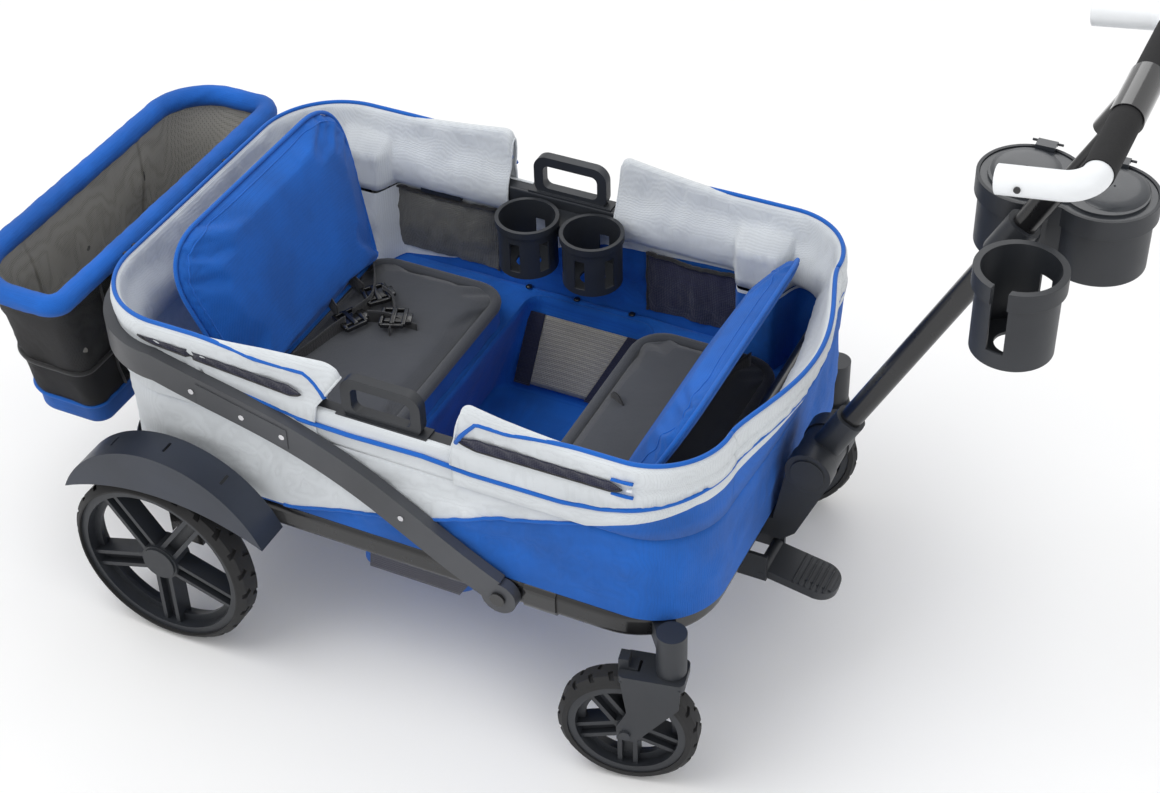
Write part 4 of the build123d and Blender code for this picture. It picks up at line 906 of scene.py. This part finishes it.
for label, (x0, x1) in (("rear", (0.045, 0.262)), ("front", (0.475, 0.672))):
    plan = [(x + AXLE.x, y) for x, y in rounded(x0 + 0.003, x1 - 0.003, 0.187)]
    pad = slab(f"seat_{label}_pad", plan, Matrix.Identity(4), SEAT_TOP - 0.026, SEAT_TOP - 0.004,
               DARK, "base", 0.007, slot="charcoal_fabric", crown=0.002)
    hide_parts(f"{label}_seat")
    edge = [P(x, y, SEAT_TOP - 0.0105) for x, y in rounded(x0 + 0.003, x1 - 0.003, 0.186)]
    tube(f"seat_{label}_edge", edge, 0.0085, DARK, "base", closed=True, segments=14, slot="charcoal_fabric")

skirt("seat_rear_skirt", 0.047, 0.262, [DARK, BLUE])
skirt("seat_front_skirt", 0.475, 0.670, [DARK])


def round_poly(corners, radii, step=0.005):
    """Points round a polygon with rounded corners."""
    pts = []
    n = len(corners)
    for i in range(n):
        p, a, b = Vector(corners[i]), Vector(corners[i - 1]), Vector(corners[(i + 1) % n])
        r = radii[i]
        p0, p1 = p + (a - p).normalized() * r, p + (b - p).normalized() * r
        q = Vector(corners[(i + 1) % n])
        q0 = q + (p - q).normalized() * radii[(i + 1) % n]
        arc = max(3, int(1.5 * r / step))
        for k in range(arc + 1):
            t = k / arc
            pts.append(p0 * (1 - t) ** 2 + p * 2 * t * (1 - t) + p1 * t * t)
        run = (q0 - p1).length
        for k in range(1, int(run / step)):
            pts.append(p1.lerp(q0, k * step / run))
    return [tuple(v) for v in pts]


BACKS = {  # lean, height, half width at the foot and top, thickness, corner radius, share of the panel seam
    "rear": (107.0, 0.236, 0.176, 0.216, 0.032, 0.085, 0.915),
    "front": (62.3, 0.205, 0.196, 0.208, 0.030, 0.075, 0.86),
}
for label, (lean, height, low_half, half, thick, rnd, share) in BACKS.items():
    face = 1 if label == "rear" else -1
    hinge = Vector(JOINT[f"{label}_back_fold"]["pos_m"])
    turn = Matrix.Translation(hinge) @ Matrix.Rotation(math.radians(-lean), 4, "Y")
    corners = [(-0.010, -low_half + 0.004), (height - 0.003, -half + 0.004),
               (height - 0.003, half - 0.004), (-0.010, low_half - 0.004)]
    outline = round_poly(corners, [0.014, rnd, rnd, 0.014])
    flip = Matrix.Identity(4) if face < 0 else Matrix.Rotation(math.pi, 4, "X")
    local = turn @ flip
    pad = slab(f"back_{label}_pad", outline, local, -thick / 2 + 0.003, thick / 2 - 0.006,
               BLUE, f"{label}_back", 0.012, slot="blue_fabric", crown=0.004)
    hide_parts(f"{label}_back")
    rim_line = [local @ Vector((x, y * 1.008, -thick / 2 + 0.011)) for x, y in outline]
    into = local.to_3x3() @ Vector((0, 0, -1))
    cx = height / 2
    line = [local @ Vector((cx + (x - cx) * share, y * (share + 0.04), 0)) for x, y in outline]
    seam_on(f"back_{label}_panel0", pad, line + line[:1], into, BLUE_TRIM, f"{label}_back")
    tube(f"back_{label}_seam", rim_line, 0.0030, BLUE_TRIM, f"{label}_back", closed=True, slot="blue_fabric")


# ---- moulded details ----
CROWN = (  # share of the reach, rise in metres
    (1.0, -0.0060), (0.985, -0.0030), (0.94, -0.0012), (0.84, 0.0004), (0.6, 0.0014), (0.3, 0.0019),
    (0.03, 0.0020),
)
tray_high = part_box("snack_tray")[1]
for name in ("rear_tray_lid", "front_tray_lid"):
    low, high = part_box(name)
    mid = (low + high) / 2
    reach = Vector(((high.x - low.x) / 2 - 0.009, (high.y - low.y) / 2 - 0.016, 0))
    rows = []
    for share, lift in CROWN:
        z = tray_high.z + lift - 0.0015
        rows.append([Vector((mid.x + reach.x * share * math.cos(a), mid.y + reach.y * share * math.sin(a), z))
                     for a in np.linspace(0, 2 * math.pi, 72, endpoint=False)])
    grid(f"{name}_crown", rows, [LID], closed=True, body=name, slot="charcoal_plastic")

pedal_low, pedal_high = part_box("brake_pedal")
pedal = BVHTree.FromObject(frame["nodes"]["brake_pedal"], bpy.context.evaluated_depsgraph_get())
for k in range(6):
    x = pedal_high.x - 0.014 - 0.008 * k
    hits = [pedal.ray_cast(Vector((x, y, 1.0)), Vector((0, 0, -1)))[0]
            for y in np.linspace(pedal_low.y, pedal_high.y, 60)]
    ridge = [h for h in hits if h is not None and h.z > 0.1][2:-2]
    if len(ridge) > 5:
        tube(f"pedal_ridge_{k}", ridge, 0.0016, CHARCOAL, "brake_pedal", slot="charcoal_plastic")

ZIP_ENDS = (  # x, height, length, material
    (0.664, 0.464, 0.006, WHITE), (0.655, 0.4745, 0.026, BLUE_TRIM), (0.655, 0.4535, 0.026, BLUE_TRIM),
)
for side, word in SIDES:
    for k, (x, z, w, mat) in enumerate(ZIP_ENDS):
        line = [place(side_s(side, x + w * (t - 0.5)), 6.4, z) for t in np.linspace(0, 1, 8)]
        tube(f"zip_end_{word}_{k}", line, 0.0030, mat, "upper_frame", flat=0.5, slot="blue_fabric")


# ---- harness and strap loop ----
def flatten(obj):
    """Gives a harness piece a mesh of its own."""
    if obj.name.startswith("harness"):
        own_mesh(obj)
    return obj


STRAP_BASE = SEAT_TOP + 0.001


def webbing(name, points, width, body):
    """Black strap across a seat."""
    line = [P(x, y, STRAP_BASE + z) for x, y, z in points]
    strap = ribbon(name, line, width, Vector((0, 0, 1)), BLACK, body, slot="charcoal_fabric")
    return flatten(strap)


def buckle(name, where, turn, body):
    """Slotted side-release buckle: a frame with three bars and two prongs."""
    bm = bmesh.new()
    parts = [((-0.016, -0.020, 0), (0.016, -0.016, 0.006)), ((-0.016, 0.016, 0), (0.016, 0.020, 0.006)),
             ((-0.018, -0.018, 0.001), (-0.013, 0.018, 0.007)), ((-0.003, -0.017, 0.001), (0.004, 0.017, 0.008)),
             ((0.013, -0.018, 0.001), (0.019, 0.018, 0.007)), ((-0.012, -0.010, 0.000), (0.026, 0.010, 0.005))]
    for low, high in parts:
        made = bmesh.ops.create_cube(bm, size=1.0)["verts"]
        for v in made:
            v.co = Vector(low[i] + (v.co[i] + 0.5) * (high[i] - low[i]) for i in range(3))
    bmesh.ops.bevel(bm, geom=bm.edges[:], offset=0.0011, segments=2, profile=0.7, affect="EDGES")
    place_at = Matrix.Translation(P(*where)) @ Matrix.Rotation(math.radians(turn), 4, "Z")
    bmesh.ops.transform(bm, matrix=place_at, verts=bm.verts)
    mesh = bpy.data.meshes.new(name)
    bm.to_mesh(mesh)
    bm.free()
    mesh.materials.append(GLOSS)
    mesh.polygons.foreach_set("use_smooth", [True] * len(mesh.polygons))
    obj = bpy.data.objects.new(name, mesh)
    bpy.context.scene.collection.objects.link(obj)
    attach(obj, body)
    return flatten(obj)


REAR_STRAPS = (  # name, width, points with their heights above STRAP_BASE
    ("harness_lap_left", 0.032, [
        (0.050, 0.178, 0.002), (0.070, 0.150, 0.004), (0.096, 0.108, 0.006),
        (0.112, 0.070, 0.008), (0.106, 0.030, 0.009)]),
    ("harness_lap_right", 0.032, [
        (0.052, -0.170, 0.002), (0.066, -0.120, 0.004), (0.084, -0.060, 0.004),
        (0.096, -0.010, 0.007), (0.104, 0.012, 0.009)]),
    ("harness_crotch", 0.026, [
        (0.196, 0.046, 0.0015), (0.176, 0.046, 0.003), (0.150, 0.044, 0.009), (0.124, 0.036, 0.010)]),
    ("harness_tail", 0.024, [
        (0.116, 0.096, 0.011), (0.140, 0.082, 0.013), (0.160, 0.052, 0.009), (0.168, 0.020, 0.004)]),
    ("harness_loose_left", 0.025, [
        (0.058, 0.156, 0.004), (0.030, 0.128, 0.020), (0.034, 0.108, 0.034),
        (0.060, 0.094, 0.026), (0.092, 0.086, 0.012)]),
    ("harness_loose_mid", 0.025, [
        (0.060, 0.060, 0.004), (0.050, 0.046, 0.024), (0.064, 0.030, 0.036), (0.088, 0.022, 0.016)]),
)
FRONT_STRAPS = (
    ("harness_front_right", 0.028, [(0.636, -0.172, 0.002), (0.622, -0.120, 0.004), (0.604, -0.060, 0.003)]),
    ("harness_front_left", 0.028, [(0.636, 0.172, 0.002), (0.620, 0.120, 0.004), (0.600, 0.070, 0.003)]),
    ("seat_front_pull", 0.014, [
        (0.496, 0.030, -0.001), (0.503, 0.026, 0.008), (0.512, 0.021, 0.008), (0.520, 0.017, -0.001)]),
)
for name, width, points in REAR_STRAPS:
    webbing(name, points, width, "base")
buckle("harness_buckle_a", (0.106, 0.020, STRAP_BASE + 0.010), 62, "base")
buckle("harness_buckle_b", (0.112, 0.082, STRAP_BASE + 0.012), 48, "base")
buckle("harness_buckle_c", (0.160, 0.046, STRAP_BASE + 0.012), 20, "base")
for name, width, points in FRONT_STRAPS:
    webbing(name, points, width, "base")


# ---- storage basket ----
BASKET_TOP, BASKET_FOOT = 0.460, 0.206


def basket_loop(z, grow=0.0, n=260):
    """Rounded outline of the basket at a height."""
    share = (z - 0.205) / (BASKET_TOP - 0.205)
    rear = -0.298 - 0.004 * share - grow
    front = -0.172 + 0.022 * share + grow
    half = 0.195 + 0.067 * share + grow
    edge = Outline(rear, front, half, 0.09 * (0.5 + 0.4 * share), 0.022)
    return [edge.at(edge.length * k / n) for k in range(n)]


def bag_row(z, out=0.0):
    """Points round the bag at a height, with its folds."""
    row = []
    for x, y, nx, ny in basket_loop(z):
        off = out + math.sin(math.pi * (z - BASKET_FOOT) / 0.25) * (lump(x, y, z, 12, 0.007) - 0.004)
        row.append(P(x + nx * off, y + ny * off, z))
    return row


def basket():
    """Bag with its rim pad, outer net, seams and bands."""
    rim_line = [P(q[0], q[1], BASKET_TOP) for q in basket_loop(BASKET_TOP, 0, 300)]
    top = tube("basket_rim_pad", rim_line, 0.0150, BLUE, "storage_basket", closed=True, segments=20, ripple=0.07,
               slot="blue_fabric")
    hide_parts("basket_rim")
    levels = [0.452, 0.43, 0.40, 0.37, 0.34, 0.318, 0.312, 0.29, 0.265, 0.243, 0.238, 0.225, 0.212, 0.206]
    rows = [bag_row(z) for z in levels]
    centre = P(-0.235, 0, BASKET_FOOT)
    for k in (0.8, 0.5, 0.2, 0.02):
        rows.append([centre + (p - centre) * k + Vector((0, 0, lump(p.x, p.y, 1, 10, 0.004))) for p in rows[13]])
    mats = [0] * 6 + [1] * 4 + [2] * 3 + [1] * 4
    bag = grid("basket_cloth", rows, [BROWN_NET, BLACK, BLUE], mats, closed=True, body="storage_basket",
               slot="mesh_fabric")
    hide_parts("basket_bag")
    outer = [bag_row(z, 0.0022) for z in np.linspace(0.448, 0.243, 14)]
    grid("basket_outer", outer, [DARK_NET], closed=True, body="storage_basket", slot="mesh_fabric")
    for k in (28, 94, 166, 232):
        line = [row[k] + (row[k] - P(-0.235, 0, row[k].z)).normalized() * 0.001 for row in outer]
        tube(f"basket_seam_{k}", line, 0.0021, BLACK, "storage_basket", segments=6, slot="charcoal_fabric")
    for z, mat, label in ((0.314, BLACK, "band"), (0.241, BLUE_TRIM, "hem")):
        line = [P(q[0], q[1], z) for q in basket_loop(z, 0.0005)]
        tube(f"basket_{label}", line, 0.003, mat, "storage_basket", closed=True, slot="blue_fabric")


basket()

# ---- camera, floor and light ----
eye = P(1.42836, -1.92638, 2.11294)
ahead = Vector((-0.34413, 0.68797, -0.63896)).normalized()
right = ahead.cross(Vector((0, 0, 1))).normalized()
above = right.cross(ahead)
roll = math.radians(-1.64)
wide = right * math.cos(roll) + above * math.sin(roll)
tall_way = above * math.cos(roll) - right * math.sin(roll)
cam_data = bpy.data.cameras.new("camera")
cam_data.lens, cam_data.sensor_width, cam_data.sensor_fit = 66.57, 36.0, "HORIZONTAL"
cam = bpy.data.objects.new("camera", cam_data)
bpy.context.scene.collection.objects.link(cam)
cam.matrix_world = Matrix(((wide.x, tall_way.x, -ahead.x, eye.x), (wide.y, tall_way.y, -ahead.y, eye.y),
                           (wide.z, tall_way.z, -ahead.z, eye.z), (0, 0, 0, 1)))
bpy.context.scene.camera = cam

m, tree, shader = nodes_of("floor_white")
tone = ramp_colour(tree, noise_of(tree, 1.5, 2), (0.90, 0.90, 0.90), (0.92, 0.92, 0.92))
tree.links.new(tone, shader.inputs["Base Color"])
shader.inputs["Roughness"].default_value = 0.9
floor = make("floor", [(-9, -9, 0), (9, -9, 0), (9, 9, 0), (-9, 9, 0)], [(0, 1, 2, 3)], [m])


def lamp(name, where, size, power):
    """Round soft light aimed at the wagon."""
    data = bpy.data.lights.new(name, "AREA")
    data.shape, data.size, data.energy = "DISK", size, power
    obj = bpy.data.objects.new(name, data)
    bpy.context.scene.collection.objects.link(obj)
    obj.location = where
    obj.rotation_euler = (Vector((0, 0, 0.3)) - Vector(where)).to_track_quat("-Z", "Y").to_euler()


bpy.context.scene.view_settings.view_transform = "Standard"
lamp("key", (-1.2, -1.0, 3.2), 2.6, 46)
lamp("fill", (2.6, -1.6, 2.4), 2.4, 16)
lamp("back", (-0.4, 3.0, 2.6), 2.4, 20)
world = bpy.data.worlds.new("sky")
world.use_nodes = True
world.node_tree.nodes["Background"].inputs["Color"].default_value = (1, 1, 1, 1)
world.node_tree.nodes["Background"].inputs["Strength"].default_value = 0.80
bpy.context.scene.world = world
